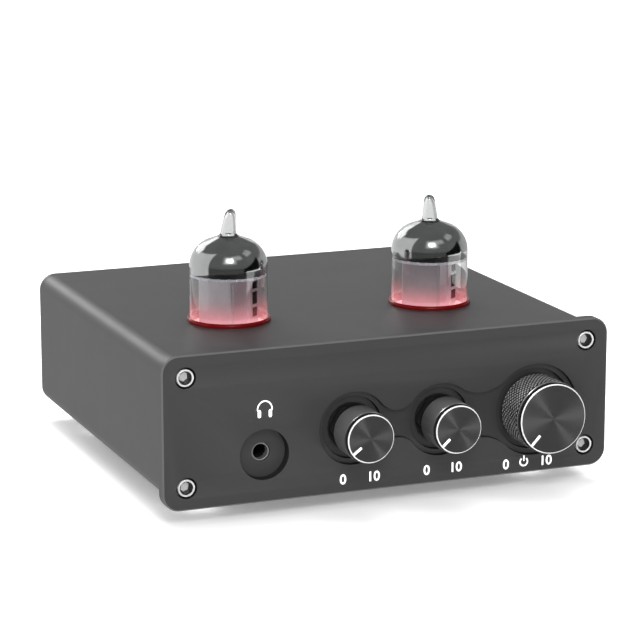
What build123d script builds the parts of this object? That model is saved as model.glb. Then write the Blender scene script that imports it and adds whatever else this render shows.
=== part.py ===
"""Desktop phono preamp with two miniature tubes, three knobs and a headphone socket.

Frame, in millimetres: X to the right, Y to the back, Z up. The origin is on the table,
under the middle of the whole object. Each sub-part is written to parts/ as its own STEP.
"""
from build123d import *
from dataclasses import dataclass
from math import atan2, cos, pi, radians, sin, sqrt
import os

# ---------------------------------------------------------------- case
FOOT_HEIGHT = 5.1
FOOT_RADIUS = 5.0
FOOT_CONTACT = 3.7
FOOT_INSET_X = 41.4
FOOT_INSET_Y = 14.5
CASE_WIDTH = 108.5
CASE_HEIGHT = 33.4
CASE_CORNER = 4.0
CASE_WALL = 1.6
BODY_DEPTH = 102.3
PANEL_WIDTH = 111.1
PANEL_HEIGHT = 36.0
PANEL_THICKNESS = 3.0
PANEL_CORNER = 4.0
PANEL_CHAMFER = 0.3
LAND_DEPTH = 1.5
LAND_CORNER = 1.5
REAR_THICKNESS = 2.0
REAR_REACH = 9.9
RAIL_GAP = 0.15
RAIL_LIP = 1.2
RAIL_LIP_WIDTH = 2.0
SCREW_X = 49.9
SCREW_RISE = 12.75
SCREW_CLEARANCE = 1.35
SCREW_RADIUS = 1.25
SCREW_HEAD_RADIUS = 2.1
SCREW_HEAD_HEIGHT = 1.5
SCREW_HEX = 2.4
SCREW_LENGTH = 9.0
SCREW_EDGE = 0.25
COUNTERBORE_RADIUS = 2.45
COUNTERBORE_DEPTH = 1.8
PILOT_RADIUS = 1.27
BOSS_RADIUS = 3.0

# ---------------------------------------------------------------- controls
KNOB_PROTRUSION = 10.2
KNOB_Z = 19.0
TREBLE_X = -9.25
BASS_X = 12.5
VOLUME_X = 36.8
POCKET_DEPTH = 1.2
POCKET_TONE = 8.6
POCKET_VOLUME = 11.0
NECK_BLEND_TONE = 5.15
NECK_BLEND_VOLUME = 9.4
WELL_DEPTH = 2.4
WELL_TONE = 7.4
WELL_VOLUME = 9.7
TONE_RADIUS = 5.96
TONE_CAVITY = 4.9
TONE_REAR = -2.1
VOLUME_RADIUS = 8.6
VOLUME_CAVITY = 7.4
VOLUME_REAR = 0.8
VOLUME_PROTRUSION = 9.7
RIM_STEP = 0.24
CAP_THICKNESS = 1.2
HUB_FLANGE = 1.8
HUB_RADIUS = 4.4
HUB_REAR = -2.3
HUB_BLIND = 0.8
SHAFT_RADIUS = 3.0
SHAFT_GAP = 0.06
BUSHING_RADIUS = 3.5
BUSHING_HOLE = 3.6
BUSHING_FRONT = -1.0
POT_FRONT = 4.6
NUT_ACROSS_FLATS = 10.0
NUT_THICKNESS = 1.9
POT_WASHER = 0.35
POINTER_WIDTH = 0.6
POINTER_DEPTH = 0.2
POINTER_MARGIN = 0.35
TONE_POT = (11.0, 12.0, 7.0)
VOLUME_POT = (16.0, 14.6, 13.0)
FLANGE_RADIUS = 4.0
FLANGE_SETBACK = 1.5
FLANGE_THICKNESS = 1.2
FLANGE_GAP = 0.1
TERMINAL_PITCH = 2.5
TERMINAL_SETBACK = 4.5

# ---------------------------------------------------------------- headphone jack
JACK_X = -31.2
JACK_Z = 15.0
DISH_RADIUS = 5.92
DISH_DEPTH = 2.5
JACK_BORE = 1.8
JACK_RING = 2.12
JACK_HOLE = 2.17
JACK_FACE = 2.85
JACK_LENGTH = 12.0
JACK_BODY_WIDTH = 7.2
JACK_BODY_TOP = 3.4
JACK_CONTACT_X = 2.9
JACK_CONTACT_HEIGHT = 4.3
JACK_CONTACT = (0.5, 1.5)

# ---------------------------------------------------------------- tubes
TUBE_Y = -15.5
LEFT_TUBE_X = -26.8
RIGHT_TUBE_X = 25.1
GLASS_RADIUS = 9.2
GLASS_WALL = 0.8
GLASS_SEAT = -11.5
DOME_CENTRE_RADIUS = 2.5
DOME_CENTRE_HEIGHT = 13.1
DOME_SWEEP = 60
DOME_SLOPE = 0.388
TIP_ROOT = 2.6
TIP_NECK = (1.9, 21.1)
TIP_TAPER = ((1.45, 24.3), (1.12, 25.7), (0.75, 26.3), (0.3, 26.6))
GETTER_FILM = 0.14
MICA_RADIUS = 8.3
MICA_THICKNESS = 0.5
TOP_MICA = 10.6
BOTTOM_MICA = -1.5
PIN_CIRCLE = 4.765
PIN_RADIUS = 0.508
PIN_LENGTH = 7.1
PIN_COUNT = 7
LEFT_CAGE_TURN = 34
RIGHT_CAGE_TURN = 41
CAGE_WIDTH = 11.6
CAGE_DEPTH = 9.6
CAGE_CORNER = 0.9
CAGE_WINDOWS = ((0.7, 2.95), (3.65, 6.7), (7.4, 9.2))
WINDOW_WIDTH = 1.9
WINDOW_INSET = 2.0
SHEET = 0.3
CATHODE_RADIUS = 0.7
GRID_ROD_RADIUS = 0.3
GRID_ROD_PLACES = (-3.4, -2.0, 2.0, 3.4)
COLLAR_RADIUS = 10.0
COLLAR_BORE = 9.42
COLLAR_SLEEVE = 9.75
COLLAR_HOLE = 9.8
COLLAR_RISE = 1.0
SOCKET_RADIUS = 8.7
SOCKET_HEIGHT = 8.4
SOCKET_GAP = 0.1
SOCKET_PIN_HOLE = 0.85
RISER_RADIUS = 7.2
RISER_BORE = 6.0
SLEEVE_RADIUS = 0.82
LED_RADIUS = 1.5
LED_FLANGE = 1.9
LED_LENGTH = 4.4

# ---------------------------------------------------------------- boards and rear
BOARD_TOP = 11.1
BOARD_THICKNESS = 1.6
BOARD_WIDTH = 93.8
BOARD_DEPTH = 93.0
CAN_HEIGHT = 12.0
SMALL_CANS = ((-36, 12), (-36, 24), (-24, 12), (-24, 24))
SMALL_CAN_RADIUS = 4.0
LARGE_CANS = ((36, 22), (36, 8))
LARGE_CAN_RADIUS = 5.0
FILM_SIZE = (7.2, 3.5, 7.0)
FILM_PITCH = (9.5, 8.0)
CHIPS = ((-2, 25), (12, 25), (24, 12))
CHIP_SIZE = (9.6, 6.4, 3.3)
CHIP_PIN_PITCH = 2.54
RCA_RADIUS = 4.15
RCA_NECK = 3.95
RCA_STEP = 0.1
RCA_DEPTH = 8.0
RCA_SPACING = 14.0
RCA_INPUT_X = 31.0
RCA_OUTPUT_X = -12.0
RCA_BORE = 3.55
RCA_PIN_BORE = 1.6
RCA_PIN_WALL = 0.4
RCA_BLOCK_DEPTH = 12.0
DC_X = -40.0
DC_Z = 18.2
DC_NOSE = 3.9
DC_BORE = 3.15
DC_BORE_DEPTH = 9.5
DC_PIN = 1.05
DC_BODY = (9.0, 12.5)
GROUND_X = 9.5
STUD_RADIUS = 2.0
STUD_GAP = 0.05
STUD_HEAD = (4.0, 2.5)
STUD_EDGE = 0.4
LOCK_NUT_FLATS = 7.0
LOCK_NUT_THICKNESS = 2.2
GROUND_WASHER_RADIUS = 4.5
GROUND_WASHER_THICKNESS = 0.8
THUMB_RADIUS = 5.0
THUMB_NECK = 3.8
THUMB_LENGTH = 4.6

# ---------------------------------------------------------------- places worked out from them
OVERALL_DEPTH = KNOB_PROTRUSION + BODY_DEPTH + REAR_REACH
FACE_Y = KNOB_PROTRUSION - OVERALL_DEPTH / 2
PANEL_BACK = FACE_Y + PANEL_THICKNESS
REAR_Y = FACE_Y + BODY_DEPTH
CASE_BACK = REAR_Y - REAR_THICKNESS
MID_Z = FOOT_HEIGHT + CASE_HEIGHT / 2
CASE_TOP = FOOT_HEIGHT + CASE_HEIGHT
REAR_END = REAR_Y + REAR_REACH
RCA_Z = MID_Z
SEAT_Z = CASE_TOP + GLASS_SEAT
SLACK = 0.02
TUBES = (("left_tube", LEFT_TUBE_X, LEFT_CAGE_TURN), ("right_tube", RIGHT_TUBE_X, RIGHT_CAGE_TURN))


@dataclass(frozen=True)
class Control:
    """One knob with its pot. Depths are measured back from the panel face."""

    name: str
    x: float
    radius: float
    cavity: float
    front: float
    rear: float
    pad: float
    well: float
    pointer_start: float
    pointer_angle: float
    pot: tuple


CONTROLS = (
    Control("treble", TREBLE_X, TONE_RADIUS, TONE_CAVITY, -KNOB_PROTRUSION, TONE_REAR,
            POCKET_TONE, WELL_TONE, 3.0, 217, TONE_POT),
    Control("bass", BASS_X, TONE_RADIUS, TONE_CAVITY, -KNOB_PROTRUSION, TONE_REAR,
            POCKET_TONE, WELL_TONE, 3.0, 222, TONE_POT),
    Control("volume", VOLUME_X, VOLUME_RADIUS, VOLUME_CAVITY, -VOLUME_PROTRUSION, VOLUME_REAR,
            POCKET_VOLUME, WELL_VOLUME, 5.0, 227, VOLUME_POT),
)

os.makedirs("parts", exist_ok=True)


def keep(piece, label):
    """Label a finished piece and write it as its own STEP file."""
    piece.part.label = label
    export_step(piece.part, f"parts/{label}.step")


def upright(y):
    """Plane facing the front at depth y: its x is X and its y is Z."""
    return Plane.XZ.offset(-y)


def level(z):
    """Horizontal plane at height z, facing up."""
    return Plane.XY.offset(z)


def lathe_y(x, z):
    """Plane for profiles (radius, depth) of parts turned about a line along Y."""
    return Plane(origin=(x, 0, z), x_dir=(1, 0, 0), z_dir=(0, 0, 1))


def lathe_z(x, y):
    """Plane for profiles (radius, height) of parts turned about a vertical line."""
    return Plane(origin=(x, y, 0), x_dir=(1, 0, 0), z_dir=(0, -1, 0))


def axis_y(x, z):
    """Line along Y through (x, z)."""
    return Axis((x, 0, z), (0, 1, 0))


def axis_z(x, y):
    """Vertical line through (x, y)."""
    return Axis((x, y, 0), (0, 0, 1))


def screw_points():
    """The four screw centres, as (x, z)."""
    return [(sx * SCREW_X, MID_Z + sz * SCREW_RISE) for sx in (-1, 1) for sz in (-1, 1)]


def knob_points():
    """The three knob centres, as (x, z)."""
    return [(control.x, KNOB_Z) for control in CONTROLS]


# ================================================================ enclosure
def make_case_sleeve():
    """Extruded tube with screw channels, board slots and two tube holes."""
    inner_half = CASE_WIDTH / 2 - CASE_WALL
    rail_edge = BOARD_WIDTH / 2 + RAIL_GAP
    rail_width = inner_half - rail_edge + 0.4
    floor_z = FOOT_HEIGHT + CASE_WALL
    slot_low = BOARD_TOP - BOARD_THICKNESS - 0.1
    slot_high = BOARD_TOP + 0.1
    rail_top = slot_high + RAIL_LIP
    with BuildPart() as sleeve:
        with BuildSketch(upright(CASE_BACK)):
            with Locations((0, MID_Z)):
                RectangleRounded(CASE_WIDTH, CASE_HEIGHT, CASE_CORNER)
                RectangleRounded(
                    CASE_WIDTH - 2 * CASE_WALL, CASE_HEIGHT - 2 * CASE_WALL,
                    CASE_CORNER - CASE_WALL, mode=Mode.SUBTRACT,
                )
            for side in (-1, 1):
                lip_x = side * (rail_edge + 0.2 - RAIL_LIP_WIDTH / 2)
                with Locations((side * (rail_edge + rail_width / 2), (floor_z + rail_top) / 2)):
                    Rectangle(rail_width, rail_top - floor_z)
                with Locations((lip_x, slot_low - RAIL_LIP / 2), (lip_x, slot_high + RAIL_LIP / 2)):
                    Rectangle(RAIL_LIP_WIDTH, RAIL_LIP)
                with Locations((side * SCREW_X, MID_Z + SCREW_RISE)):
                    Circle(BOSS_RADIUS)
            with Locations(*screw_points()):
                Circle(PILOT_RADIUS, mode=Mode.SUBTRACT)
        extrude(amount=CASE_BACK - PANEL_BACK)
        with BuildSketch(level(CASE_TOP - CASE_WALL - 1)):
            with Locations(*[(x, TUBE_Y) for _, x, _ in TUBES]):
                Circle(COLLAR_HOLE)
        extrude(amount=CASE_WALL + 2, mode=Mode.SUBTRACT)
    keep(sleeve, "case_sleeve")


def rim_point(control, angle):
    """Point on the pocket pad of one control, at an angle in degrees."""
    return (
        control.x + control.pad * cos(radians(angle)),
        KNOB_Z + control.pad * sin(radians(angle)),
    )


def neck_blend(left, right, blend):
    """Where a concave arc of radius blend touches both pads: two angles, centre, half height."""
    span = right.x - left.x
    reach_left = left.pad + blend
    reach_right = right.pad + blend
    along = (span**2 + reach_left**2 - reach_right**2) / (2 * span)
    rise = sqrt(reach_left**2 - along**2)
    from_left = atan2(rise, along) * 180 / pi
    from_right = atan2(rise, along - span) * 180 / pi
    return from_left, from_right, left.x + along, rise - blend


def pocket_outline():
    """Closed outline of the knob pocket: three round pads joined by two waisted necks."""
    treble, bass, volume = CONTROLS
    a_left, a_right, a_x, a_half = neck_blend(treble, bass, NECK_BLEND_TONE)
    b_left, b_right, b_x, b_half = neck_blend(bass, volume, NECK_BLEND_VOLUME)
    for side in (1, -1):
        middle = 90 * side
        ThreePointArc(
            rim_point(treble, side * a_left), rim_point(treble, side * (a_left + 60)),
            rim_point(treble, 180),
        )
        ThreePointArc(
            rim_point(treble, side * a_left), (a_x, KNOB_Z + side * a_half), rim_point(bass, side * a_right),
        )
        ThreePointArc(rim_point(bass, side * a_right), rim_point(bass, middle), rim_point(bass, side * b_left))
        ThreePointArc(
            rim_point(bass, side * b_left), (b_x, KNOB_Z + side * b_half), rim_point(volume, side * b_right),
        )
        ThreePointArc(rim_point(volume, side * b_right), rim_point(volume, middle), rim_point(volume, 0))


def make_front_panel():
    """Machined front plate: linked knob pocket, knob wells, jack dish and counterbores."""
    land_height = CASE_HEIGHT - 2 * CASE_WALL - 0.6
    with BuildPart() as panel:
        with BuildSketch(upright(PANEL_BACK)):
            with Locations((0, MID_Z)):
                RectangleRounded(PANEL_WIDTH, PANEL_HEIGHT, PANEL_CORNER)
        extrude(amount=PANEL_THICKNESS)
        chamfer(panel.faces().sort_by(Axis.Y)[0].edges(), PANEL_CHAMFER)
        with BuildSketch(upright(PANEL_BACK + LAND_DEPTH)):
            with Locations((0, MID_Z)):
                RectangleRounded(2 * (SCREW_X - 5.2), land_height, LAND_CORNER)
        extrude(amount=LAND_DEPTH)
        with BuildSketch(upright(FACE_Y)):
            with BuildLine():
                pocket_outline()
            make_face()
        extrude(amount=-POCKET_DEPTH, mode=Mode.SUBTRACT)
        with BuildSketch(upright(FACE_Y)):
            for control in CONTROLS:
                with Locations((control.x, KNOB_Z)):
                    Circle(control.well)
        extrude(amount=-WELL_DEPTH, mode=Mode.SUBTRACT)
        with BuildSketch(upright(FACE_Y)):
            with Locations((JACK_X, JACK_Z)):
                Circle(DISH_RADIUS)
        extrude(amount=-DISH_DEPTH, mode=Mode.SUBTRACT)
        with BuildSketch(upright(FACE_Y)):
            with Locations((JACK_X, JACK_Z)):
                Circle(JACK_HOLE)
            with Locations(*knob_points()):
                Circle(BUSHING_HOLE)
            with Locations(*screw_points()):
                Circle(SCREW_CLEARANCE)
        extrude(amount=-(PANEL_THICKNESS + LAND_DEPTH), mode=Mode.SUBTRACT)
        with BuildSketch(upright(FACE_Y)):
            with Locations(*screw_points()):
                Circle(COUNTERBORE_RADIUS)
        extrude(amount=-COUNTERBORE_DEPTH, mode=Mode.SUBTRACT)
    keep(panel, "front_panel")


def make_rear_panel():
    """Flat rear plate with holes for the sockets, the ground post and the screws."""
    with BuildPart() as plate:
        with BuildSketch(upright(REAR_Y)):
            with Locations((0, MID_Z)):
                RectangleRounded(CASE_WIDTH, CASE_HEIGHT, CASE_CORNER)
        extrude(amount=REAR_THICKNESS)
        chamfer(plate.faces().sort_by(Axis.Y)[-1].edges(), PANEL_CHAMFER)
        with BuildSketch(upright(REAR_Y)):
            with Locations(*rca_points()):
                Circle(RCA_NECK + 0.25)
            with Locations((DC_X, DC_Z)):
                Circle(DC_NOSE + 0.1)
            with Locations((GROUND_X, RCA_Z)):
                Circle(STUD_RADIUS + SLACK)
            with Locations(*screw_points()):
                Circle(SCREW_CLEARANCE)
        extrude(amount=REAR_THICKNESS, mode=Mode.SUBTRACT)
    keep(plate, "rear_panel")


def make_screws(label, head_seat, towards):
    """Four socket-head screws whose heads stand on head_seat; towards is -1 front, 1 rear."""
    with BuildPart() as screws:
        with BuildSketch(upright(head_seat)):
            with Locations(*screw_points()):
                Circle(SCREW_HEAD_RADIUS)
        extrude(amount=-towards * SCREW_HEAD_HEIGHT)
        along = screws.faces().sort_by(Axis.Y)
        outer = along[:4] if towards < 0 else along[-4:]
        chamfer(outer.edges(), SCREW_EDGE)
        with BuildSketch(upright(head_seat)):
            with Locations(*screw_points()):
                Circle(SCREW_RADIUS)
        extrude(amount=towards * SCREW_LENGTH)
        with BuildSketch(upright(head_seat + towards * SCREW_HEAD_HEIGHT)):
            with Locations(*screw_points()):
                RegularPolygon(SCREW_HEX / 2, 6, major_radius=False)
        extrude(amount=towards * (SCREW_HEAD_HEIGHT - 0.3), mode=Mode.SUBTRACT)
    keep(screws, label)


def make_feet():
    """Four round translucent bumpers under the case, a little domed towards the table."""
    with BuildPart() as feet:
        for side in (-1, 1):
            for y in (FACE_Y + FOOT_INSET_Y, REAR_Y - FOOT_INSET_Y):
                x = side * FOOT_INSET_X
                with BuildSketch(lathe_z(x, y)):
                    with BuildLine():
                        Polyline((FOOT_CONTACT, 0), (0, 0), (0, FOOT_HEIGHT), (FOOT_RADIUS, FOOT_HEIGHT))
                        ThreePointArc(
                            (FOOT_RADIUS, FOOT_HEIGHT), (FOOT_RADIUS - 0.3, 0.4 * FOOT_HEIGHT), (FOOT_CONTACT, 0),
                        )
                    make_face()
                revolve(axis=axis_z(x, y))
    keep(feet, "feet")


# ================================================================ controls
def make_knob(control):
    """Turned aluminium knob shell: front rim, groove, body and the engraved pointer."""
    face = FACE_Y + control.front
    rear = FACE_Y + control.rear
    cap = face + CAP_THICKNESS
    rim = control.radius - RIM_STEP
    edge = 0.3
    with BuildPart() as knob:
        with BuildSketch(lathe_y(control.x, KNOB_Z)):
            with BuildLine():
                Polyline(
                    (0, face), (rim - edge, face), (rim, face + edge), (rim, face + 0.45),
                    (rim - edge, face + 0.5), (rim - edge, face + 0.7),
                    (control.radius - 0.15, face + 0.72), (control.radius, face + 0.87),
                    (control.radius, rear), (control.cavity, rear),
                    (control.cavity, cap), (0, cap), (0, face),
                )
            make_face()
        revolve(axis=axis_y(control.x, KNOB_Z))
        stop = rim - POINTER_MARGIN
        middle = (control.pointer_start + stop) / 2
        turn = radians(control.pointer_angle)
        with BuildSketch(upright(face)):
            with Locations((control.x + middle * cos(turn), KNOB_Z + middle * sin(turn))):
                SlotOverall(stop - control.pointer_start, POINTER_WIDTH, rotation=control.pointer_angle)
        extrude(amount=-POINTER_DEPTH, mode=Mode.SUBTRACT)
    keep(knob, f"{control.name}_knob")


def make_hub(control):
    """Plastic push-on core that fills the front of the knob and grips the shaft."""
    front = FACE_Y + control.front + CAP_THICKNESS
    flange = front + HUB_FLANGE
    rear = FACE_Y + HUB_REAR
    bore = SHAFT_RADIUS + SLACK
    outer = control.cavity - SLACK
    blind = front + HUB_BLIND
    with BuildPart() as hub:
        with BuildSketch(lathe_y(control.x, KNOB_Z)):
            with BuildLine():
                Polyline(
                    (0, front), (outer, front), (outer, flange), (HUB_RADIUS, flange),
                    (HUB_RADIUS, rear), (bore, rear), (bore, blind), (0, blind), (0, front),
                )
            make_face()
        revolve(axis=axis_y(control.x, KNOB_Z))
    keep(hub, f"{control.name}_knob_hub")


def make_shaft(control):
    """Steel control shaft, held by a flange that turns inside the pot body."""
    tip = FACE_Y + control.front + CAP_THICKNESS + HUB_BLIND
    flange_front = FACE_Y + POT_FRONT + FLANGE_SETBACK
    flange_back = flange_front + FLANGE_THICKNESS
    edge = 0.3
    with BuildPart() as shaft:
        with BuildSketch(lathe_y(control.x, KNOB_Z)):
            with BuildLine():
                Polyline(
                    (0, tip), (SHAFT_RADIUS - edge, tip), (SHAFT_RADIUS, tip + edge),
                    (SHAFT_RADIUS, flange_front), (FLANGE_RADIUS, flange_front),
                    (FLANGE_RADIUS, flange_back), (0, flange_back), (0, tip),
                )
            make_face()
        revolve(axis=axis_y(control.x, KNOB_Z))
    keep(shaft, f"{control.name}_shaft")


def make_pot(control):
    """Potentiometer body with its threaded bushing and the turned space for the shaft."""
    width, height, depth = control.pot
    front = FACE_Y + POT_FRONT
    bushing_front = FACE_Y + BUSHING_FRONT
    space_front = front + FLANGE_SETBACK - FLANGE_GAP
    space_back = front + FLANGE_SETBACK + FLANGE_THICKNESS + FLANGE_GAP
    bore = SHAFT_RADIUS + SHAFT_GAP
    with BuildPart() as pot:
        with BuildSketch(upright(front)):
            with Locations((control.x, KNOB_Z)):
                RectangleRounded(width, height, 0.8)
        extrude(amount=-depth)
        with BuildSketch(upright(front)):
            with Locations((control.x, KNOB_Z)):
                Circle(BUSHING_RADIUS)
        extrude(amount=front - bushing_front)
        with BuildSketch(lathe_y(control.x, KNOB_Z)):
            with BuildLine():
                Polyline(
                    (0, bushing_front), (bore, bushing_front), (bore, space_front),
                    (FLANGE_RADIUS + FLANGE_GAP, space_front), (FLANGE_RADIUS + FLANGE_GAP, space_back),
                    (0, space_back), (0, bushing_front),
                )
            make_face()
        revolve(axis=axis_y(control.x, KNOB_Z), mode=Mode.SUBTRACT)
    keep(pot, f"{control.name}_pot")


def make_pot_hardware():
    """Hex nuts and washers on the bushings, and the solder terminals below the bodies."""
    washer_seat = FACE_Y + WELL_DEPTH
    bore = BUSHING_RADIUS + SLACK
    with BuildPart() as washers:
        with BuildSketch(upright(washer_seat)):
            with Locations(*knob_points()):
                Circle(NUT_ACROSS_FLATS * 0.56)
                Circle(bore, mode=Mode.SUBTRACT)
        extrude(amount=POT_WASHER)
    keep(washers, "pot_washers")
    with BuildPart() as nuts:
        with BuildSketch(upright(washer_seat - POT_WASHER)):
            with Locations(*knob_points()):
                RegularPolygon(NUT_ACROSS_FLATS / 2, 6, major_radius=False)
                Circle(bore, mode=Mode.SUBTRACT)
        extrude(amount=NUT_THICKNESS)
    keep(nuts, "pot_nuts")
    with BuildPart() as terminals:
        for control in CONTROLS:
            with BuildSketch(level(BOARD_TOP)):
                with Locations((control.x, FACE_Y + POT_FRONT + TERMINAL_SETBACK)):
                    with GridLocations(TERMINAL_PITCH, 1, 3, 1):
                        Rectangle(0.8, 0.4)
            extrude(amount=KNOB_Z - control.pot[1] / 2 - BOARD_TOP)
    keep(terminals, "pot_terminals")


def make_controls():
    """All three knobs with their hubs, shafts and pots."""
    for control in CONTROLS:
        make_knob(control)
        make_hub(control)
        make_shaft(control)
        make_pot(control)
    make_pot_hardware()


# ================================================================ headphone jack
def make_headphone_jack():
    """Board-mounted socket: body, metal nose ring and spring contacts."""
    face = FACE_Y + JACK_FACE
    body_front = FACE_Y + PANEL_THICKNESS + LAND_DEPTH + 0.1
    body_back = face + JACK_LENGTH
    height = JACK_Z + JACK_BODY_TOP - BOARD_TOP
    contact_points = [
        (JACK_X + side * JACK_CONTACT_X, y)
        for side in (-1, 1) for y in (body_front + 3.0, body_back - 2.5)
    ]
    with BuildPart() as ring:
        with BuildSketch(upright(face)):
            with Locations((JACK_X, JACK_Z)):
                Circle(JACK_RING)
                Circle(JACK_BORE, mode=Mode.SUBTRACT)
        extrude(amount=-(body_front - face))
    keep(ring, "headphone_jack_ring")
    with BuildPart() as body:
        with BuildSketch(upright(body_front)):
            with Locations((JACK_X, BOARD_TOP + height / 2)):
                Rectangle(JACK_BODY_WIDTH, height)
        extrude(amount=-(body_back - body_front))
        chamfer(body.edges().filter_by(Axis.Y), 0.3)
        with BuildSketch(upright(body_front)):
            with Locations((JACK_X, JACK_Z)):
                Circle(JACK_BORE)
        extrude(amount=-(body_back - body_front), mode=Mode.SUBTRACT)
        with BuildSketch(level(BOARD_TOP)):
            with Locations(*contact_points):
                Rectangle(JACK_CONTACT[0] + 0.2, JACK_CONTACT[1] + 0.3)
        extrude(amount=JACK_CONTACT_HEIGHT + 0.2, mode=Mode.SUBTRACT)
    keep(body, "headphone_jack")
    with BuildPart() as contacts:
        with BuildSketch(level(BOARD_TOP)):
            with Locations(*contact_points):
                Rectangle(*JACK_CONTACT)
        extrude(amount=JACK_CONTACT_HEIGHT)
    keep(contacts, "headphone_contacts")


# ================================================================ tubes
def pin_points(x):
    """The seven pin centres of the tube at x, eight places with one left out."""
    step = 360 / (PIN_COUNT + 1)
    angles = [radians(270 + step * (i + 1)) for i in range(PIN_COUNT)]
    return [(x + PIN_CIRCLE * cos(a), TUBE_Y + PIN_CIRCLE * sin(a)) for a in angles]


def dome_arc(radius):
    """Shoulder arc of the envelope, concentric for every layer; returns its two ends."""
    centre = (DOME_CENTRE_RADIUS, CASE_TOP + DOME_CENTRE_HEIGHT)
    points = [
        (centre[0] + radius * cos(radians(turn)), centre[1] + radius * sin(radians(turn)))
        for turn in (0, DOME_SWEEP / 2, DOME_SWEEP)
    ]
    ThreePointArc(*points)
    return points[0], points[2]


def on_cone(start, radius):
    """Point at the given radius on the shallow cone that runs in from start."""
    return (radius, start[1] + DOME_SLOPE * (start[0] - radius))


def make_tube_glass(name, x):
    """Blown envelope with a cylindrical wall, domed shoulder, drawn tip and pin holes."""
    z = CASE_TOP
    seat = z + GLASS_SEAT
    button = seat + 2.2
    wall = GLASS_RADIUS - GLASS_WALL
    with BuildPart() as glass:
        with BuildSketch(lathe_z(x, TUBE_Y)):
            with BuildLine():
                low, high = dome_arc(GLASS_RADIUS - DOME_CENTRE_RADIUS)
                root = on_cone(high, TIP_ROOT)
                Line(high, root)
                neck = (TIP_NECK[0], z + TIP_NECK[1])
                ThreePointArc(root, (2.12, z + 20.5), neck)
                Polyline(
                    neck, *[(radius, z + rise) for radius, rise in TIP_TAPER],
                    (0, z + TIP_TAPER[-1][1]), (0, seat), (GLASS_RADIUS - 1.8, seat),
                    (GLASS_RADIUS - 0.5, seat + 0.6), (GLASS_RADIUS, seat + 2.0), low,
                )
            make_face()
        revolve(axis=axis_z(x, TUBE_Y))
        with BuildSketch(lathe_z(x, TUBE_Y)):
            with BuildLine():
                low, high = dome_arc(wall - DOME_CENTRE_RADIUS)
                Polyline(
                    high, on_cone(high, 1.2), (0, z + 19.95), (0, button), (wall - 1.0, button),
                    (wall, button + 1.0), low,
                )
            make_face()
        revolve(axis=axis_z(x, TUBE_Y), mode=Mode.SUBTRACT)
        with BuildSketch(level(seat)):
            with Locations(*pin_points(x)):
                Circle(PIN_RADIUS + 0.01)
        extrude(amount=3.0, mode=Mode.SUBTRACT)
    keep(glass, f"{name}_glass")


def make_tube_pins(name, x):
    """Seven stiff base pins sealed through the glass button."""
    low = SEAT_Z - PIN_LENGTH
    with BuildPart() as pins:
        with BuildSketch(level(low)):
            with Locations(*pin_points(x)):
                Circle(PIN_RADIUS)
        extrude(amount=PIN_LENGTH + 4.0)
        chamfer(pins.faces().sort_by(Axis.Z)[:PIN_COUNT].edges(), 0.2)
    keep(pins, f"{name}_pins")


def make_tube_cage(name, x, turn):
    """Mica discs, folded plate cage, cathode sleeves, grid posts and getter."""
    bottom = CASE_TOP + BOTTOM_MICA
    top = CASE_TOP + TOP_MICA
    low = bottom + MICA_THICKNESS
    turned = Location((x, TUBE_Y), turn)
    window_x = CAGE_WIDTH / 2 - WINDOW_INSET
    with BuildPart() as micas:
        for z in (bottom, top):
            with BuildSketch(level(z)):
                with Locations((x, TUBE_Y)):
                    Circle(MICA_RADIUS)
            extrude(amount=MICA_THICKNESS)
    keep(micas, f"{name}_micas")
    with BuildPart() as plates:
        with BuildSketch(level(low)):
            with Locations(turned):
                RectangleRounded(CAGE_WIDTH, CAGE_DEPTH, CAGE_CORNER)
                RectangleRounded(
                    CAGE_WIDTH - 2 * SHEET, CAGE_DEPTH - 2 * SHEET, CAGE_CORNER - SHEET,
                    mode=Mode.SUBTRACT,
                )
        extrude(amount=top - low)
        for window_low, window_high in CAGE_WINDOWS:
            with BuildSketch(level(CASE_TOP + window_low)):
                with Locations(turned):
                    with Locations((window_x, -CAGE_DEPTH / 2), (-window_x, CAGE_DEPTH / 2)):
                        Rectangle(WINDOW_WIDTH, 4)
            extrude(amount=window_high - window_low, mode=Mode.SUBTRACT)
    keep(plates, f"{name}_plates")
    with BuildPart() as cathodes:
        with BuildSketch(level(low)):
            with Locations(turned):
                Circle(CATHODE_RADIUS)
        extrude(amount=top - low)
    keep(cathodes, f"{name}_cathode")
    with BuildPart() as grids:
        with BuildSketch(level(low)):
            with Locations(turned):
                with Locations(*[(place, 0) for place in GRID_ROD_PLACES]):
                    Circle(GRID_ROD_RADIUS)
        extrude(amount=top - low)
    keep(grids, f"{name}_grids")
    outer = GLASS_RADIUS - GLASS_WALL - DOME_CENTRE_RADIUS - SLACK
    with BuildPart() as getter:
        with BuildSketch(lathe_z(x, TUBE_Y)):
            with BuildLine():
                outer_low, outer_high = dome_arc(outer)
                inner_low, inner_high = dome_arc(outer - GETTER_FILM)
                Polyline(outer_high, on_cone(outer_high, 1.8), on_cone(inner_high, 1.8), inner_high)
                Line(outer_low, inner_low)
            make_face()
        revolve(axis=axis_z(x, TUBE_Y))
    keep(getter, f"{name}_getter")


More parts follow.
